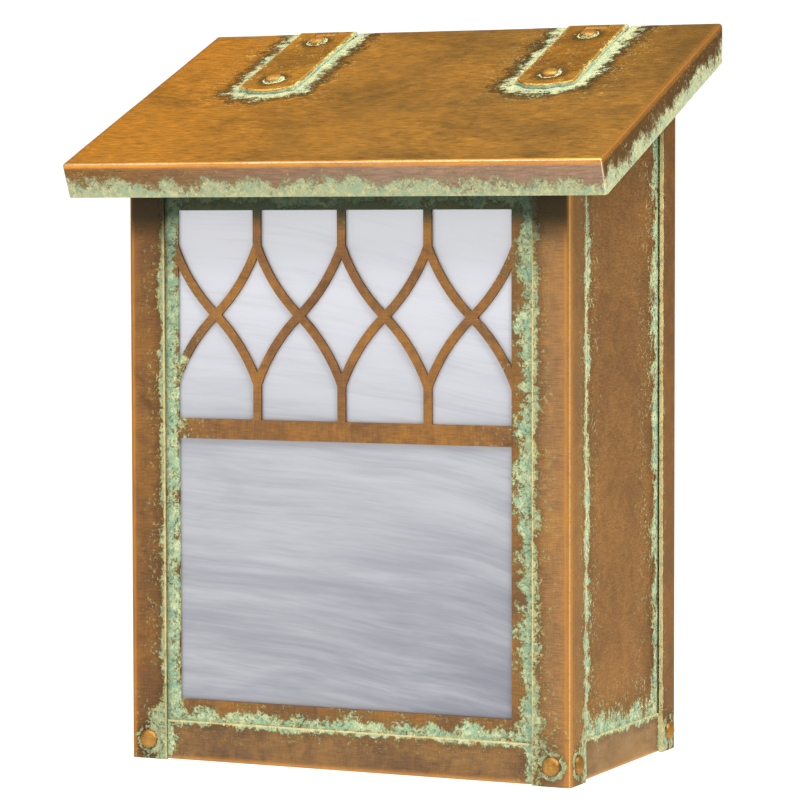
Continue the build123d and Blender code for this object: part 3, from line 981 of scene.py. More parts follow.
@dataclass(frozen=True)
class StrapBrass(AgedBrass):
    """A strap: dark round its rivets, bright along its edges and green on its cut sides."""

    sloping: bool = True
    amber: str = "c88a2e"
    brown: str = "a06f2c"
    umber: str = "4c3a20"
    bare: str = "e0a24a"
    highlight_gold: str = "e3c268"
    cream: str = "c3bd84"
    smudges: float = 0.45
    weave: float = 0.15
    green: Verdigris = Verdigris("a3b79f", "84a8a6", "c4cba2", "b3a55c", "6a7358")
    top: float = 0.0               # this and the next four come from the strap, in the lid's own axes
    middle: float = 0.0
    half: float = 1.0
    front: float = 0.0
    bow: float = 0.0
    ring_radius: float = 4.9       # the middle of the green ring round a rivet
    rivets: tuple[Vector, ...] = ()

    def off_rivet(self, s: Surface) -> Field:
        """How far a point is from the nearer rivet."""
        return s.away_from_all(self.rivets)

    def reach(self, s: Surface) -> Field:
        """Green lies on the cut sides and in a ring round each rivet.

        Args:
            s: The surface.

        Returns:
            The reach, which is 0 where the green ends.
        """
        cut = ((self.top - s.square) - 0.8) / 0.25
        ring = (self.off_rivet(s) - self.ring_radius).size().band(0.9, 0.75)
        rim = self.inside(s).band(0.35, 1.2)
        return cut.either(ring).either(rim).both(2.5)

    def on_top(self, s: Surface) -> Field:
        """Whether a point is on the upper face, from 0 to 1."""
        return (self.top - s.square).rise(0.9, 0.4)

    def inside(self, s: Surface) -> Field:
        """How far a point is inside the strap's outline.

        Args:
            s: The surface.

        Returns:
            The distance, in millimetres, which is less than 0 outside.
        """
        across = (s.x - self.middle).size()
        bow = (across / self.half).math("POWER", 2.0) * self.bow
        return (self.half - across).both(s.up_slope - self.front - bow)

    def metal(self, s: Surface) -> Tint:
        """The right hand strap is darker than the left hand one."""
        return super().metal(s).under(self.umber, s.x.rise(0.0, 80.0) * 0.18)

    def crust(self, s: Surface, ragged: Field) -> Tint:
        """The green is creamier on top than on the cut sides."""
        return super().crust(s, ragged).under(self.cream, self.on_top(s) * 0.6)

    def line(self, s: Surface) -> Field:
        """The upper edges catch the light."""
        return self.inside(s).rise(1.9, 0.6) * self.on_top(s) * 0.85

    def stain_and_shade(self, s: Surface) -> Field:
        """A dark halo round each rivet."""
        return self.off_rivet(s).rise(11.0, 5.5) * 0.8

    def wear(self, s: Surface) -> Field:
        """The upper edges are rubbed bright."""
        return self.inside(s).rise(2.6, 1.0) * 0.6


@dataclass(frozen=True)
class RivetBrass(AgedBrass):
    """A domed rivet, warm on its crown, with green creeping over its foot."""

    amber: str = "bb8a42"
    brown: str = "936a36"
    umber: str = "4f3a24"
    dullness: float = 0.52
    creep: float = 4.9             # the green begins this far from the middle of the foot
    feet: tuple[Vector, ...] = ()
    fronts: tuple[Vector, ...] = ()    # a place well in front of each dome
    head_reach: float = 13.9       # no part of a dome is further than this from it

    def off_foot(self, s: Surface) -> Field:
        """How far a point is from the middle of the nearest rivet's foot."""
        return s.away_from_all(self.feet)

    def reach(self, s: Surface) -> Field:
        """Green creeps over the foot of the dome, in patches, and stays off the tail.

        Args:
            s: The surface.

        Returns:
            The reach, which is 0 where the green ends.
        """
        if not self.feet:
            return super().reach(s)
        on_head = self.head_reach - s.away_from_all(self.fronts)
        return (self.off_foot(s) - self.creep).both(on_head) / 0.35

    def stain_and_shade(self, s: Surface) -> Field:
        """Painted shade darkens the foot of the dome, where it meets the sheet.

        Args:
            s: The surface.

        Returns:
            The darkness, from 0 to 1.
        """
        if not self.feet:
            return super().stain_and_shade(s)
        return self.off_foot(s).rise(3.9, 4.9) * 0.6


@dataclass(frozen=True)
class ArtGlass:
    """White opalescent glass with soft grey streaks."""

    name: str = "art_glass"
    milk: str = "9fa0a5"
    cloud: str = "b2b2b7"
    painted_light: str = "d3d4da"
    streak: str = "84858e"
    painted_shade: str = "696b75"

    def dress(self) -> bpy.types.Material:
        """Builds the material.

        Returns:
            The finished material.
        """
        s = Surface(self.name)
        drift = s.noise((110.0, 40.0, 30.0), twist=1.6, shift=2.0)
        sweep = s.z + s.x * 0.17 + (s.noise(190.0, detail=2.0, rough=0.4, shift=6.0) - 0.5) * 44.0
        wisp = s.strokes(sweep / 13.0, s.x / 130.0, 5.0, 0.66)
        fine = s.strokes(sweep / 2.2, s.x / 70.0, 4.0, 0.7)
        colour = s.colour(self.milk).under(self.streak, drift.rise(0.44, 0.64) * 0.3)
        colour = colour.under(self.cloud, wisp.rise(0.44, 0.66) * 0.3)
        colour = colour.under(self.streak, (wisp * 0.5 + fine * 0.5).rise(0.52, 0.36) * 0.29)
        colour = colour.under(self.cloud, fine.rise(0.52, 0.7) * 0.28)
        # Painted shade: the glass is darker low down and towards the lower right.
        low = s.z.rise(-10.0, -150.0) * 0.62 + s.x.rise(-50.0, 90.0) * s.z.rise(-40.0, -120.0) * 0.36
        colour = colour.under(self.painted_shade, low * wisp.rise(0.85, 0.25))
        # Painted light: the glass is lighter towards the top.
        colour = colour.under(self.painted_light, s.z.rise(-40.0, 85.0) * 0.85)
        colour = colour.under(self.streak, (wisp * 0.6 + fine * 0.4).rise(0.5, 0.34) * 0.13)
        s.drive("Base Color", colour)
        s.drive("Roughness", fine * 0.1 + 0.2)
        s.shader.inputs["IOR"].default_value = 1.52
        s.emboss(wisp * 0.05 + drift * 0.1)
        return s.material


@dataclass(frozen=True)
class FloorPaint:
    """The pale studio floor."""

    name: str = "floor_paint"
    glow: float = 1.0

    def dress(self) -> bpy.types.Material:
        """Builds the material.

        Returns:
            The finished material.
        """
        s = Surface(self.name)
        s.shader.inputs["Base Color"].default_value = (0.92, 0.92, 0.92, 1.0)
        s.shader.inputs["Roughness"].default_value = 0.9
        s.shader.inputs["Emission Color"].default_value = (1.0, 1.0, 1.0, 1.0)
        s.shader.inputs["Emission Strength"].default_value = self.glow
        return s.material


# ---- shapes -----------------------------------------------------------------------------------------
def lid_to_case(x: float, up_slope: float, square: float) -> Vector:
    """Carries a place from the lid's own axes to the case's, in millimetres.

    Args:
        x: The place along the front.
        up_slope: The place up the slope.
        square: The height square to it.

    Returns:
        The place in the case's axes.
    """
    turn = math.radians(LID_PITCH)
    y = up_slope * math.cos(turn) - square * math.sin(turn)
    return Vector((x, y, up_slope * math.sin(turn) + square * math.cos(turn)))


def lid_axes(place: Vector) -> Vector:
    """Carries a place from the case's axes to the lid's own, in millimetres."""
    return Matrix.Rotation(-math.radians(LID_PITCH), 3, "X") @ place


def dent(place: Vector, grain: float, depth: float) -> float:
    """How far hand work has pushed in a sheet at a place, from 0 to depth millimetres."""
    cloud = noise.noise(place / grain) * 0.5 + noise.noise(place / grain * 2.3) * 0.25
    return depth * min(1.0, max(0.0, 0.5 + cloud))


class Piece:
    """A shape being made in millimetres, in the case's axes, that ends as one object of the letter box."""

    def __init__(self, name: str) -> None:
        """Starts an empty shape with that name."""
        self.name = name
        self.shape = bmesh.new()

    def thicken(self, holder: bpy.types.Object, sheet: float, edge: float) -> None:
        """Gives an open skin its sheet thickness, inwards, and rounds its cut edges.

        Args:
            holder: The object that carries the skin.
            sheet: The thickness in millimetres.
            edge: The radius of the rounded cut edges in millimetres.
        """
        solid = holder.modifiers.new("sheet", "SOLIDIFY")
        solid.thickness = sheet / METRE
        solid.offset = -1.0
        solid.use_even_offset = True
        bevel = holder.modifiers.new("edge", "BEVEL")
        bevel.width = edge / METRE
        bevel.segments = EDGE_SEGMENTS
        bevel.limit_method = "ANGLE"
        bevel.angle_limit = math.radians(EDGE_ANGLE)
        bpy.context.view_layer.update()
        whole = bpy.data.meshes.new_from_object(holder.evaluated_get(bpy.context.evaluated_depsgraph_get()))
        holder.modifiers.clear()
        holder.data = whole

    def place(
        self,
        material: bpy.types.Material,
        nodes: tuple[str, ...],
        sheet: float = 0.0,
        edge: float = 0.3,
        crease: float = 35.0,
    ) -> bpy.types.Object:
        """Makes the object, dresses it and lets it stand for its frame nodes.

        Args:
            material: The finish.
            nodes: The frame nodes that the piece stands for, all on one body.
            sheet: The thickness of an open skin, or 0 where the shape is closed already.
            edge: The radius of the cut edges of a thickened skin.
            crease: Edges that turn more than this many degrees stay sharp.

        Returns:
            The new object.
        """
        bmesh.ops.scale(self.shape, vec=(1 / METRE,) * 3, verts=self.shape.verts)
        mesh = bpy.data.meshes.new(self.name)
        self.shape.to_mesh(mesh)
        self.shape.free()
        piece = bpy.data.objects.new(self.name, mesh)
        bpy.context.collection.objects.link(piece)
        if sheet:
            self.thicken(piece, sheet, edge)
        piece.data.shade_smooth()
        piece.data.set_sharp_from_angle(angle=math.radians(crease))
        piece.data.materials.clear()
        piece.data.materials.append(material)
        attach(piece, BODIES[nodes[0]])
        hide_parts(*nodes)
        LOG.info("%s: %d faces", self.name, len(piece.data.polygons))
        return piece


def corners_mm(node: str) -> list[Vector]:
    """All the corners of a frame node's mesh, in millimetres."""
    return [vertex.co * METRE for vertex in frame["nodes"][node].data.vertices]


def box_round(places: list[Vector]) -> tuple[Vector, Vector]:
    """The lowest and highest corners of the box round some places."""
    low = Vector([min(place[i] for place in places) for i in range(3)])
    return low, Vector([max(place[i] for place in places) for i in range(3)])


def cut_along(shape: bmesh.types.BMesh, place: Vector, across: Vector, drop: bool = False) -> None:
    """Cuts a shape along a plane.

    Args:
        shape: The shape to cut.
        place: A place on the plane.
        across: The plane's direction.
        drop: Whether what lies beyond the plane is taken away.
    """
    parts = shape.verts[:] + shape.edges[:] + shape.faces[:]
    bmesh.ops.bisect_plane(shape, geom=parts, plane_co=place, plane_no=across, clear_outer=drop, dist=1e-5)


# ---- sub-assemblies ---------------------------------------------------------------------------------
@dataclass
class Strap:
    """One hinge strap: a hand cut plate on the lid, with a rolled eye each side of the case's knuckle."""

    side: Side
    sheet: float = 2.3             # the thickness
    front_bow: float = 5.0         # how far the middle of the front end stands ahead of its corners
    bow_share: float = 0.35        # the share of the length that the bowed end takes up
    eye_turn: float = 290.0        # degrees
    eye_steps: int = 24
    knuckle_room: float = 12.2     # the width left free for the case's knuckle
    swing_room: float = 0.35       # the gap in front of it
    step: float = 2.4              # the length of one row of faces
    wander: float = 0.75           # how unevenly the long edges are cut
    wave: float = 2.4              # and the front end
    hammer_mark: float = 0.16      # the depth of the hammer marks
    fade: float = 12.0             # the hand work fades out over this length before the pin

    def __post_init__(self) -> None:
        """Finds where the strap and its pin are."""
        self.node = f"{self.side.name.lower()}_strap"
        low, high = box_mm(self.node)
        pin_low, pin_high = box_mm(f"{self.side.name.lower()}_hinge_pin")
        self.middle = (low.x + high.x) / 2
        self.half = (high.x - low.x) / 2
        self.eye_radius = high.z - (pin_low.z + pin_high.z) / 2
        self.pin = lid_axes(Vector((0.0, (pin_low.y + pin_high.y) / 2, (pin_low.z + pin_high.z) / 2)))
        self.top = self.pin.z + self.eye_radius
        self.front = min(lid_axes(corner).y for corner in corners_mm(self.node))
        self.length = self.pin.y - self.front

    def profile(self) -> list[tuple[float, float]]:
        """The strap's upper line from front to rear and round the eye, as (up_slope, square).

        Returns:
            The points of the line, in the lid's own axes.
        """
        rows = round(self.length / self.step)
        line = [(self.front + self.length * i / rows, self.top) for i in range(rows)]
        for i in range(self.eye_steps + 1):
            angle = math.radians(90.0 - self.eye_turn * i / self.eye_steps)
            up_slope = self.pin.y + self.eye_radius * math.cos(angle)
            line.append((up_slope, self.pin.z + self.eye_radius * math.sin(angle)))
        return line

    def columns(self) -> list[float]:
        """The places across the strap, from -1 at one edge to 1 at the other.

        Returns:
            The places, from left to right.
        """
        room = self.knuckle_room / 2 / self.half
        outer = [-1.0, -0.96, -0.91, -0.85, -0.78, -0.71, -0.63, -0.55, -0.47]
        inner = [-room, -room / 2, 0.0]
        return outer + inner + [-c for c in reversed(outer + inner[:-1])]

    def hand_cut(self, c: float, up_slope: float, square: float) -> Vector:
        """Moves a point of the plain strap to where hand cutting and hammering leave it.

        Args:
            c: Its place across the strap, from -1 to 1.
            up_slope: Its place up the slope.
            square: Its height over the lid, in the lid's own axes.

        Returns:
            The place in the case's axes, in millimetres.
        """
        on_plate = min(1.0, max(0.0, (self.pin.y - up_slope) / self.fade)) if square == self.top else 0.0
        edge = Vector((7.0 * c, up_slope / 7.0, self.middle))
        trim = self.wander * (0.5 + 0.7 * noise.noise(edge)) * (0.25 + 0.75 * on_plate)
        x = self.middle + c * (self.half - abs(c) * max(0.0, trim))
        bow = max(0.0, 1 - (up_slope - self.front) / (self.length * self.bow_share))
        swing = noise.noise(Vector((c * 3.4, self.middle, 4.0)))
        swing += 0.5 * noise.noise(Vector((c * 8.0, self.middle, 9.0)))
        wave = self.wave * max(0.0, swing + 0.2)
        pushed = dent(Vector((x, up_slope, 3.0)), 6.0, self.hammer_mark) * on_plate
        return lid_to_case(x, up_slope + self.front_bow * c * c * bow + wave * on_plate, square - pushed)

    def build(self) -> None:
        """Makes the strap."""
        piece = Piece(f"hand_cut_{self.node}")
        columns = self.columns()
        profile = self.profile()
        rows = [[piece.shape.verts.new(self.hand_cut(c, *spot)) for c in columns] for spot in profile]
        notch = self.pin.y - self.eye_radius - self.swing_room
        for i in range(len(rows) - 1):
            behind = profile[i][0] >= notch - self.step / 2 or profile[i][1] != self.top
            for j in range(len(columns) - 1):
                in_room = abs(columns[j] + columns[j + 1]) / 2 * self.half < self.knuckle_room / 2
                if not (behind and in_room):
                    corners = (rows[i][j], rows[i][j + 1], rows[i + 1][j + 1], rows[i + 1][j])
                    piece.shape.faces.new(corners)
        loose = [v for v in piece.shape.verts if not v.link_faces]
        bmesh.ops.delete(piece.shape, geom=loose, context="VERTS")
        piece.place(self.dress(), (self.node,), sheet=self.sheet, edge=0.45)

    def dress(self) -> bpy.types.Material:
        """Makes the strap's own finish, which follows its edges and rivets.

        Returns:
            The finished material.
        """
        feet = Rivets("strap_rivets").feet()
        return StrapBrass(
            f"{self.node}_brass",
            shift=3.0 * self.side.value,
            top=self.top,
            middle=self.middle,
            half=self.half,
            front=self.front,
            bow=self.front_bow,
            rivets=tuple(foot for foot in feet if abs(foot.x - self.middle) < self.half),
        ).dress()


@dataclass
class Rivets:
    """The rivets of one frame node: hammered domes in front of the sheets and closed tails behind them."""

    node: str
    head_radius: float = 4.75
    head_height: float = 2.5
    shank_radius: float = 2.38
    tail_radius: float = 3.4
    tail_height: float = 1.5
    crown_drop: float = 0.25       # how far hammering has flattened the crown
    head_mark: float = 0.32        # the depth of the hammer marks on the dome
    tail_mark: float = 0.22        # and on the tail
    reach_apart: float = 13.0      # no two rivets of a node are nearer than this
    ahead: float = 12.5            # the place that keeps green off the tail is this far in front of the foot
    around: int = 28
    crown_steps: int = 7

    def places(self) -> list[tuple[Vector, Vector]]:
        """Finds each rivet's head.

        Returns:
            The middle of each head's foot and the way it faces, in millimetres.
        """
        groups: list[list[Vector]] = []
        for place in corners_mm(self.node):
            for group in groups:
                if (group[0] - place).length < self.reach_apart:
                    group.append(place)
                    break
            else:
                groups.append([place])
        return [self.head_of(group) for group in groups]

    def feet(self, ahead: float = 0.0) -> tuple[Vector, ...]:
        """The middle of each head's foot, or the place that far in front of it, in millimetres."""
        return tuple(foot + way * ahead for foot, way in self.places())

    def head_of(self, group: list[Vector]) -> tuple[Vector, Vector]:
        """Works out where one rivet's head stands from the corners of its solid.

        Args:
            group: The corners of one rivet.

        Returns:
            The middle of the head's foot and the way it faces.
        """
        if "strap" in self.node:
            way = lid_to_case(0.0, 0.0, 1.0)
        else:
            middle = sum(group, Vector()) / len(group)
            ways = [Vector((0, -1, 0)), Vector((math.copysign(1, middle.x), 0, 0))]
            way = min(ways, key=lambda w: max(p @ w for p in group) - min(p @ w for p in group))
        top = max(p @ way for p in group)
        low, high = box_round([p - way * (p @ way) for p in group])
        centre = (low + high) / 2
        centre -= way * (centre @ way)
        return centre + way * (top - self.head_height), way

    def grip_of(self, foot: Vector, way: Vector) -> float:
        """The thickness that the rivet at a foot holds together, in millimetres."""
        near = [place for place in corners_mm(self.node) if (place - foot).length < self.reach_apart]
        return foot @ way - min(p @ way for p in near) - self.tail_height

    def outline(self, grip: float) -> list[tuple[float, float]]:
        """A rivet's outline from crown to tail, as (radius, height over the foot).

        Args:
            grip: The thickness that the rivet holds together.

        Returns:
            The points of the outline.
        """
        crown = []
        for i in range(1, self.crown_steps + 1):
            t = math.pi / 2 * i / self.crown_steps
            crown.append((self.head_radius * math.sin(t) ** 0.92, self.head_height * math.cos(t) ** 0.9))
        tail = [
            (self.shank_radius, 0.0),
            (self.shank_radius, -grip),
            (self.tail_radius, -grip),
            (self.tail_radius, -grip - self.tail_height * 0.5),
            (self.tail_radius * 0.8, -grip - self.tail_height * 0.92),
        ]
        return crown + tail

    def ring(self, foot: Vector, radius: float, height: float, grip: float) -> list[Vector]:
        """One ring of a rivet, as the hammer leaves it.

        Args:
            foot: The middle of the head's foot, which picks the marks.
            radius: The ring's radius.
            height: Its height over the foot, which is less than 0 on the shank and the tail.
            grip: The thickness that the rivet holds together.

        Returns:
            The ring's points in the rivet's own axes, in millimetres.
        """
        points = []
        for k in range(self.around):
            angle = 2 * math.pi * k / self.around
            rim = Vector((radius * math.cos(angle), radius * math.sin(angle), height))
            if height > 0:
                blow = dent(rim + foot, 2.6, self.head_mark)
            else:
                blow = dent(rim + foot, 3.5, self.tail_mark)
            shrink = 1.0 - blow / self.head_radius * (1.0 if height > -grip else 0.4)
            sunk = blow * 0.9 if height > 0.3 else 0.0
            points.append(Vector((rim.x * shrink, rim.y * shrink, rim.z - sunk)))
        return points

    def add_rivet(self, shape: bmesh.types.BMesh, foot: Vector, way: Vector) -> None:
        """Adds one closed rivet to a shape.

        Args:
            shape: The shape that the rivet joins.
            foot: The middle of the head's foot, in millimetres.
            way: The way the head faces.
        """
        grip = self.grip_of(foot, way)
        turn = way.to_track_quat("Z", "Y").to_matrix()
        rings = []
        for radius, height in self.outline(grip):
            points = self.ring(foot, radius, height, grip)
            rings.append([shape.verts.new(foot + turn @ point) for point in points])
        crown = shape.verts.new(foot + way * (self.head_height - self.crown_drop))
        end = shape.verts.new(foot - way * (grip + self.tail_height))
        for k in range(self.around):
            n = (k + 1) % self.around
            shape.faces.new((crown, rings[0][k], rings[0][n]))
            shape.faces.new((end, rings[-1][n], rings[-1][k]))
            for upper, lower in zip(rings, rings[1:]):
                shape.faces.new((upper[k], lower[k], lower[n], upper[n]))

    def build(self, creep: float = 4.9) -> None:
        """Makes all the rivets of the node as one object of separate solids.

        Args:
            creep: How far from the middle of its foot the green on a dome begins, in millimetres.
        """
        piece = Piece(f"hammered_{self.node}")
        for foot, way in self.places():
            self.add_rivet(piece.shape, foot, way)
        fronts = self.feet(ahead=self.ahead)
        finish = RivetBrass(f"{self.node}_brass", feet=self.feet(), fronts=fronts, creep=creep)
        piece.place(finish.dress(), (self.node,), crease=50.0)


@dataclass
class Lid:
    """The sloping lid: a hand folded sheet with its straps and their rivets."""

    sheet: float = 1.2             # the thickness
    bend: float = 2.0              # the outer radius of the folds
    bend_steps: int = 6
    grid: float = 6.0              # the size of the faces
    notch_half: float = 15.8       # half the width of the notch for a pair of eyes
    notch_depth: float = 4.3       # in front of the pin
    mitre: float = 0.35            # the depth of the line at each corner
    dent_grain: float = 26.0
    dent_depth: float = 0.3

    def __post_init__(self) -> None:
        """Finds the lid's edges in its own axes."""
        self.low, self.high = box_round([lid_axes(corner) for corner in corners_mm("lid_sheet")])
        self.wall = box_mm("lid_sheet")[1].y
        self.straps = (Strap(Side.LEFT), Strap(Side.RIGHT))

    def folded_skin(self, shape: bmesh.types.BMesh) -> None:
        """Makes the lid's outer skin in its own axes, with rounded folds and a fine grid.

        Args:
            shape: The empty shape that takes the skin.
        """
        size = self.high - self.low
        size.y += self.bend
        bmesh.ops.create_cube(shape, size=1.0)
        middle = self.low + size / 2
        for v in shape.verts:
            v.co = Vector([c * s + m for c, s, m in zip(v.co, size, middle)])
        open_sides = [f for f in shape.faces if f.normal.z < -0.9 or f.normal.y > 0.9]
        bmesh.ops.delete(shape, geom=open_sides, context="FACES")
        folds = [e for e in shape.edges if len(e.link_faces) == 2]
        bmesh.ops.bevel(
            shape,
            geom=folds,
            offset=self.bend,
            offset_type="OFFSET",
            segments=self.bend_steps,
            profile=0.5,
            affect="EDGES",
        )
        for axis in range(3):
            across = Vector([1.0 if i == axis else 0.0 for i in range(3)])
            cuts = max(2, round((self.high[axis] - self.low[axis]) / self.grid))
            for i in range(1, cuts):
                cut_along(shape, self.low + across * (self.high[axis] - self.low[axis]) * i / cuts, across)

    def notch(self, shape: bmesh.types.BMesh) -> None:
        """Cuts the skin away round the hinge eyes.

        Args:
            shape: The lid's skin, in its own axes.
        """
        for strap in self.straps:
            front = strap.pin.y - self.notch_depth
            left, right = strap.middle - self.notch_half, strap.middle + self.notch_half
            for x in (left, right):
                cut_along(shape, Vector((x, 0.0, 0.0)), Vector((1.0, 0.0, 0.0)))
            cut_along(shape, Vector((0.0, front, 0.0)), Vector((0.0, 1.0, 0.0)))
            middles = [(face, face.calc_center_median()) for face in shape.faces]
            inside = [face for face, middle in middles if left < middle.x < right and middle.y > front]
            bmesh.ops.delete(shape, geom=inside, context="FACES")

    def work(self, shape: bmesh.types.BMesh) -> None:
        """Leaves the marks of hand folding: soft dents, and a fine line where each corner is mitred.

        Args:
            shape: The lid's skin, in its own axes.
        """
        shape.normal_update()
        moves = []
        for v in shape.verts:
            inward = -v.normal * dent(v.co, self.dent_grain, self.dent_depth)
            at_corner = abs(abs(v.normal.x) - abs(v.normal.y)) < 0.12 and abs(v.normal.z) < 0.3
            if at_corner:
                inward -= v.normal * self.mitre
            moves.append(inward)
        for v, move in zip(shape.verts, moves):
            v.co += move

    def build(self) -> None:
        """Makes the lid, its straps and their rivets."""
        piece = Piece("folded_lid")
        self.folded_skin(piece.shape)
        self.notch(piece.shape)
        self.work(piece.shape)
        for v in piece.shape.verts:
            v.co = lid_to_case(*v.co)
        cut_along(piece.shape, Vector((0.0, self.wall, 0.0)), Vector((0.0, 1.0, 0.0)), drop=True)
        finish = LidBrass(
            "lid_brass",
            top=self.high.z,
            front=self.low.y,
            half_width=self.high.x,
            straps=tuple(strap.middle for strap in self.straps),
            strap_half=self.straps[0].half,
            strap_front=self.straps[0].front,
            strap_bow=self.straps[0].front_bow,
        )
        piece.place(finish.dress(), ("lid_sheet",), sheet=self.sheet, edge=0.25)
        for strap in self.straps:
            strap.build()
        Rivets("strap_rivets").build(creep=4.4)


@dataclass
class Case:
    """The case: posts, panels, base tray, back plate, glass and the rivets that join them."""

    ripple: float = 0.22           # the depth of the glass's ripples
    ripple_grain: float = 16.0
    ripple_squeeze: float = 0.6    # X counts this much, so that the ripples run longer along it
    pane_grid: float = 4.0         # the size of the glass's faces

    def hang_glass(self) -> None:
        """Makes the pane of rolled glass, with its gentle ripple."""
        low, high = box_mm("glass_pane")
        piece = Piece("rolled_glass")
        across = round((high.x - low.x) / self.pane_grid)
        up = round((high.z - low.z) / self.pane_grid)
        rows = []
        for j in range(up + 1):
            row = []
            for i in range(across + 1):
                x = low.x + (high.x - low.x) * i / across
                z = low.z + (high.z - low.z) * j / up
                dip = dent(Vector((x * self.ripple_squeeze, 0.0, z)), self.ripple_grain, self.ripple)
                row.append(piece.shape.verts.new((x, low.y + dip, z)))
            rows.append(row)
        for lower, upper in zip(rows, rows[1:]):
            for i in range(across):
                piece.shape.faces.new((lower[i], lower[i + 1], upper[i + 1], upper[i]))
        sheet = high.y - low.y - self.ripple
        piece.place(ArtGlass().dress(), ("glass_pane",), sheet=sheet, edge=0.2)

    def build(self) -> None:
        """Dresses the case's sheets and makes its glass and rivets."""
        corners = [Rivets(f"{place}_corner_rivets") for place in ("front", "side", "back")]
        feet = tuple(foot for rivets in corners for foot in rivets.feet())
        posts = PostBrass("post_brass", rivets=feet).dress()
        sides = SideBrass("side_brass", grain=Grain.ALONG_SIDE, shift=6.0).dress()
        hinges = AgedBrass("hinge_brass", amber="a9772f", brown="8a622e", umber="4c3a20", shift=9.0).dress()
        for side in Side:
            dress_node(f"{side.name.lower()}_front_post", posts)
            dress_node(f"{side.name.lower()}_side_panel", sides)
            for part in ("hinge_leaf", "hinge_pin"):
                dress_node(f"{side.name.lower()}_{part}", hinges)
        dress_node("back_plate", BackBrass("back_brass", shift=2.0, rivets=feet).dress())
        dress_node("front_panel", PanelBrass("panel_brass", shift=4.0).dress())
        dress_node("base_tray", BaseBrass("base_brass", shift=5.0).dress())
        plain = AgedBrass("plain_brass").dress()
        for node in ("glass_tabs", "spacer_washers"):
            dress_node(node, plain)
        flush = RivetBrass("flush_rivet_brass").dress()
        for node in ("tray_back_rivets", "hinge_leaf_rivets"):
            dress_node(node, flush)
        for rivets in (*corners, Rivets("top_rivets")):
            rivets.build()
        self.hang_glass()


def dress_node(name: str, material: bpy.types.Material) -> None:
    """Gives a frame node its material.

    Args:
        name: The node's name.
        material: The finish.
    """
    node = frame["nodes"][name]
    node.data.materials.clear()
    node.data.materials.append(material)
    LOG.info("%s: %s", name, material.name)


# ---- studio -----------------------------------------------------------------------------------------
def towards(azimuth: float, elevation: float) -> Vector:
    """The direction from the box to a place round it, in degrees; 0, 0 is level in front.

    Args:
        azimuth: How far round to the right.
        elevation: How far up.

    Returns:
        The direction.
    """
    a = math.radians(azimuth)
    e = math.radians(elevation)
    return Vector((math.sin(a) * math.cos(e), -math.cos(a) * math.cos(e), math.sin(e)))


@dataclass(frozen=True)
class SoftLight:
    """A square soft light that is aimed at the middle of the box."""

    name: str
    azimuth: float                 # degrees round the box to the right
    elevation: float               # degrees up
    distance: float                # millimetres from the middle of the box
    size: float                    # the length of its side, in millimetres
    watts: float

    def put_up(self, middle: Vector) -> None:
        """Makes the light.

        Args:
            middle: The middle of the box, in millimetres.
        """
        data = bpy.data.lights.new(self.name, "AREA")
        data.size = self.size / METRE
        data.energy = self.watts
        light = bpy.data.objects.new(self.name, data)
        bpy.context.collection.objects.link(light)
        back = towards(self.azimuth, self.elevation)
        light.location = (middle + back * self.distance) / METRE
        light.rotation_euler = (-back).to_track_quat("-Z", "Y").to_euler()


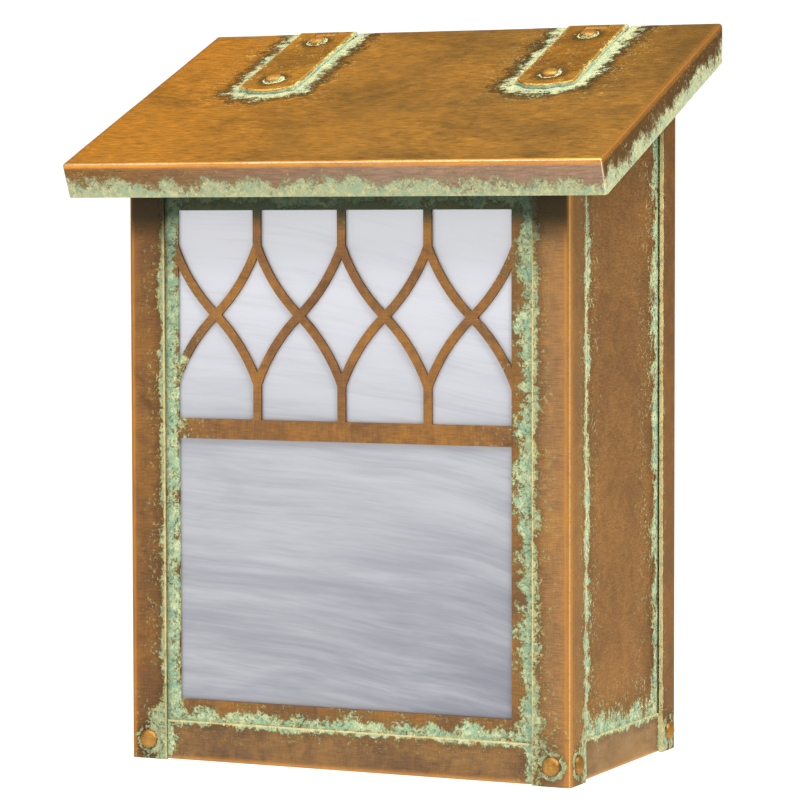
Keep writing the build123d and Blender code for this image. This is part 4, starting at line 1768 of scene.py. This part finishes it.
@dataclass
class Studio:
    """The camera, the lights, the floor and the white background."""

    azimuth: float = 24.93         # degrees round the box to the right, to the camera
    elevation: float = 2.98
    roll: float = -0.12
    distance: float = 1655.8
    lens: float = 155.9            # the focal length, on a sensor of the width below
    sensor: float = 36.0
    aim: tuple[float, float, float] = (7.8, -11.6, -4.0)   # from the middle of the box
    floor_drop: float = 900.0      # from the underside of the box to the floor
    floor_reach: float = 40000.0
    ambient: float = 0.34          # the strength of the white surroundings as light
    backdrop: float = 1.1          # and as the camera sees them
    lights: tuple[SoftLight, ...] = (
        SoftLight("key", azimuth=64.0, elevation=50.0, distance=1500.0, size=700.0, watts=30.0),
        SoftLight("fill", azimuth=-30.0, elevation=12.0, distance=1900.0, size=1400.0, watts=7.0),
        SoftLight("top", azimuth=-20.0, elevation=74.0, distance=1400.0, size=1100.0, watts=14.0),
    )

    def middle(self) -> Vector:
        """The middle of the whole box, in millimetres."""
        low, high = cad_bounds
        return (low + high) / 2 * METRE

    def set_camera(self) -> None:
        """Makes the camera and aims it."""
        data = bpy.data.cameras.new("camera")
        data.lens = self.lens
        data.sensor_width = self.sensor
        data.clip_start = 0.05
        data.clip_end = 100.0
        camera = bpy.data.objects.new("camera", data)
        bpy.context.collection.objects.link(camera)
        target = self.middle() + Vector(self.aim)
        back = towards(self.azimuth, self.elevation)
        camera.location = (target + back * self.distance) / METRE
        look = (-back).to_track_quat("-Z", "Y").to_matrix()
        turn = Matrix.Rotation(math.radians(self.roll), 3, "Z")
        camera.rotation_euler = (look @ turn).to_euler()
        bpy.context.scene.camera = camera

    def set_lights(self) -> None:
        """Puts up the soft lights and the white surroundings."""
        for light in self.lights:
            light.put_up(self.middle())
        world = bpy.data.worlds.new("surroundings")
        world.use_nodes = True
        tree = world.node_tree
        around = tree.nodes["Background"]
        behind = tree.nodes.new("ShaderNodeBackground")
        for node, strength in ((around, self.ambient), (behind, self.backdrop)):
            node.inputs["Color"].default_value = (1.0, 1.0, 1.0, 1.0)
            node.inputs["Strength"].default_value = strength
        path = tree.nodes.new("ShaderNodeLightPath")
        mix = tree.nodes.new("ShaderNodeMixShader")
        tree.links.new(path.outputs["Is Camera Ray"], mix.inputs[0])
        tree.links.new(around.outputs[0], mix.inputs[1])
        tree.links.new(behind.outputs[0], mix.inputs[2])
        tree.links.new(mix.outputs[0], tree.nodes["World Output"].inputs["Surface"])
        bpy.context.scene.world = world
        bpy.context.scene.view_settings.view_transform = "Standard"

    def lay_floor(self) -> None:
        """Lays a plain pale floor well below the box, as under a box on a wall."""
        level = cad_bounds[0].z - self.floor_drop / METRE
        reach = self.floor_reach / METRE
        mesh = bpy.data.meshes.new("floor")
        shape = bmesh.new()
        corners = [(-reach, -reach), (reach, -reach), (reach, reach), (-reach, reach)]
        shape.faces.new([shape.verts.new((x, y, level)) for x, y in corners])
        shape.to_mesh(mesh)
        shape.free()
        floor = bpy.data.objects.new("floor", mesh)
        bpy.context.collection.objects.link(floor)
        mesh.materials.append(FloorPaint().dress())

    def build(self) -> None:
        """Sets up the whole studio."""
        self.set_camera()
        self.set_lights()
        self.lay_floor()
        LOG.info("studio is up")


def main() -> None:
    """Builds the studio and every piece of the letter box."""
    logging.basicConfig(level=logging.INFO, format="%(message)s")
    Studio().build()
    Case().build()
    Lid().build()


if __name__ == "__main__":
    main()
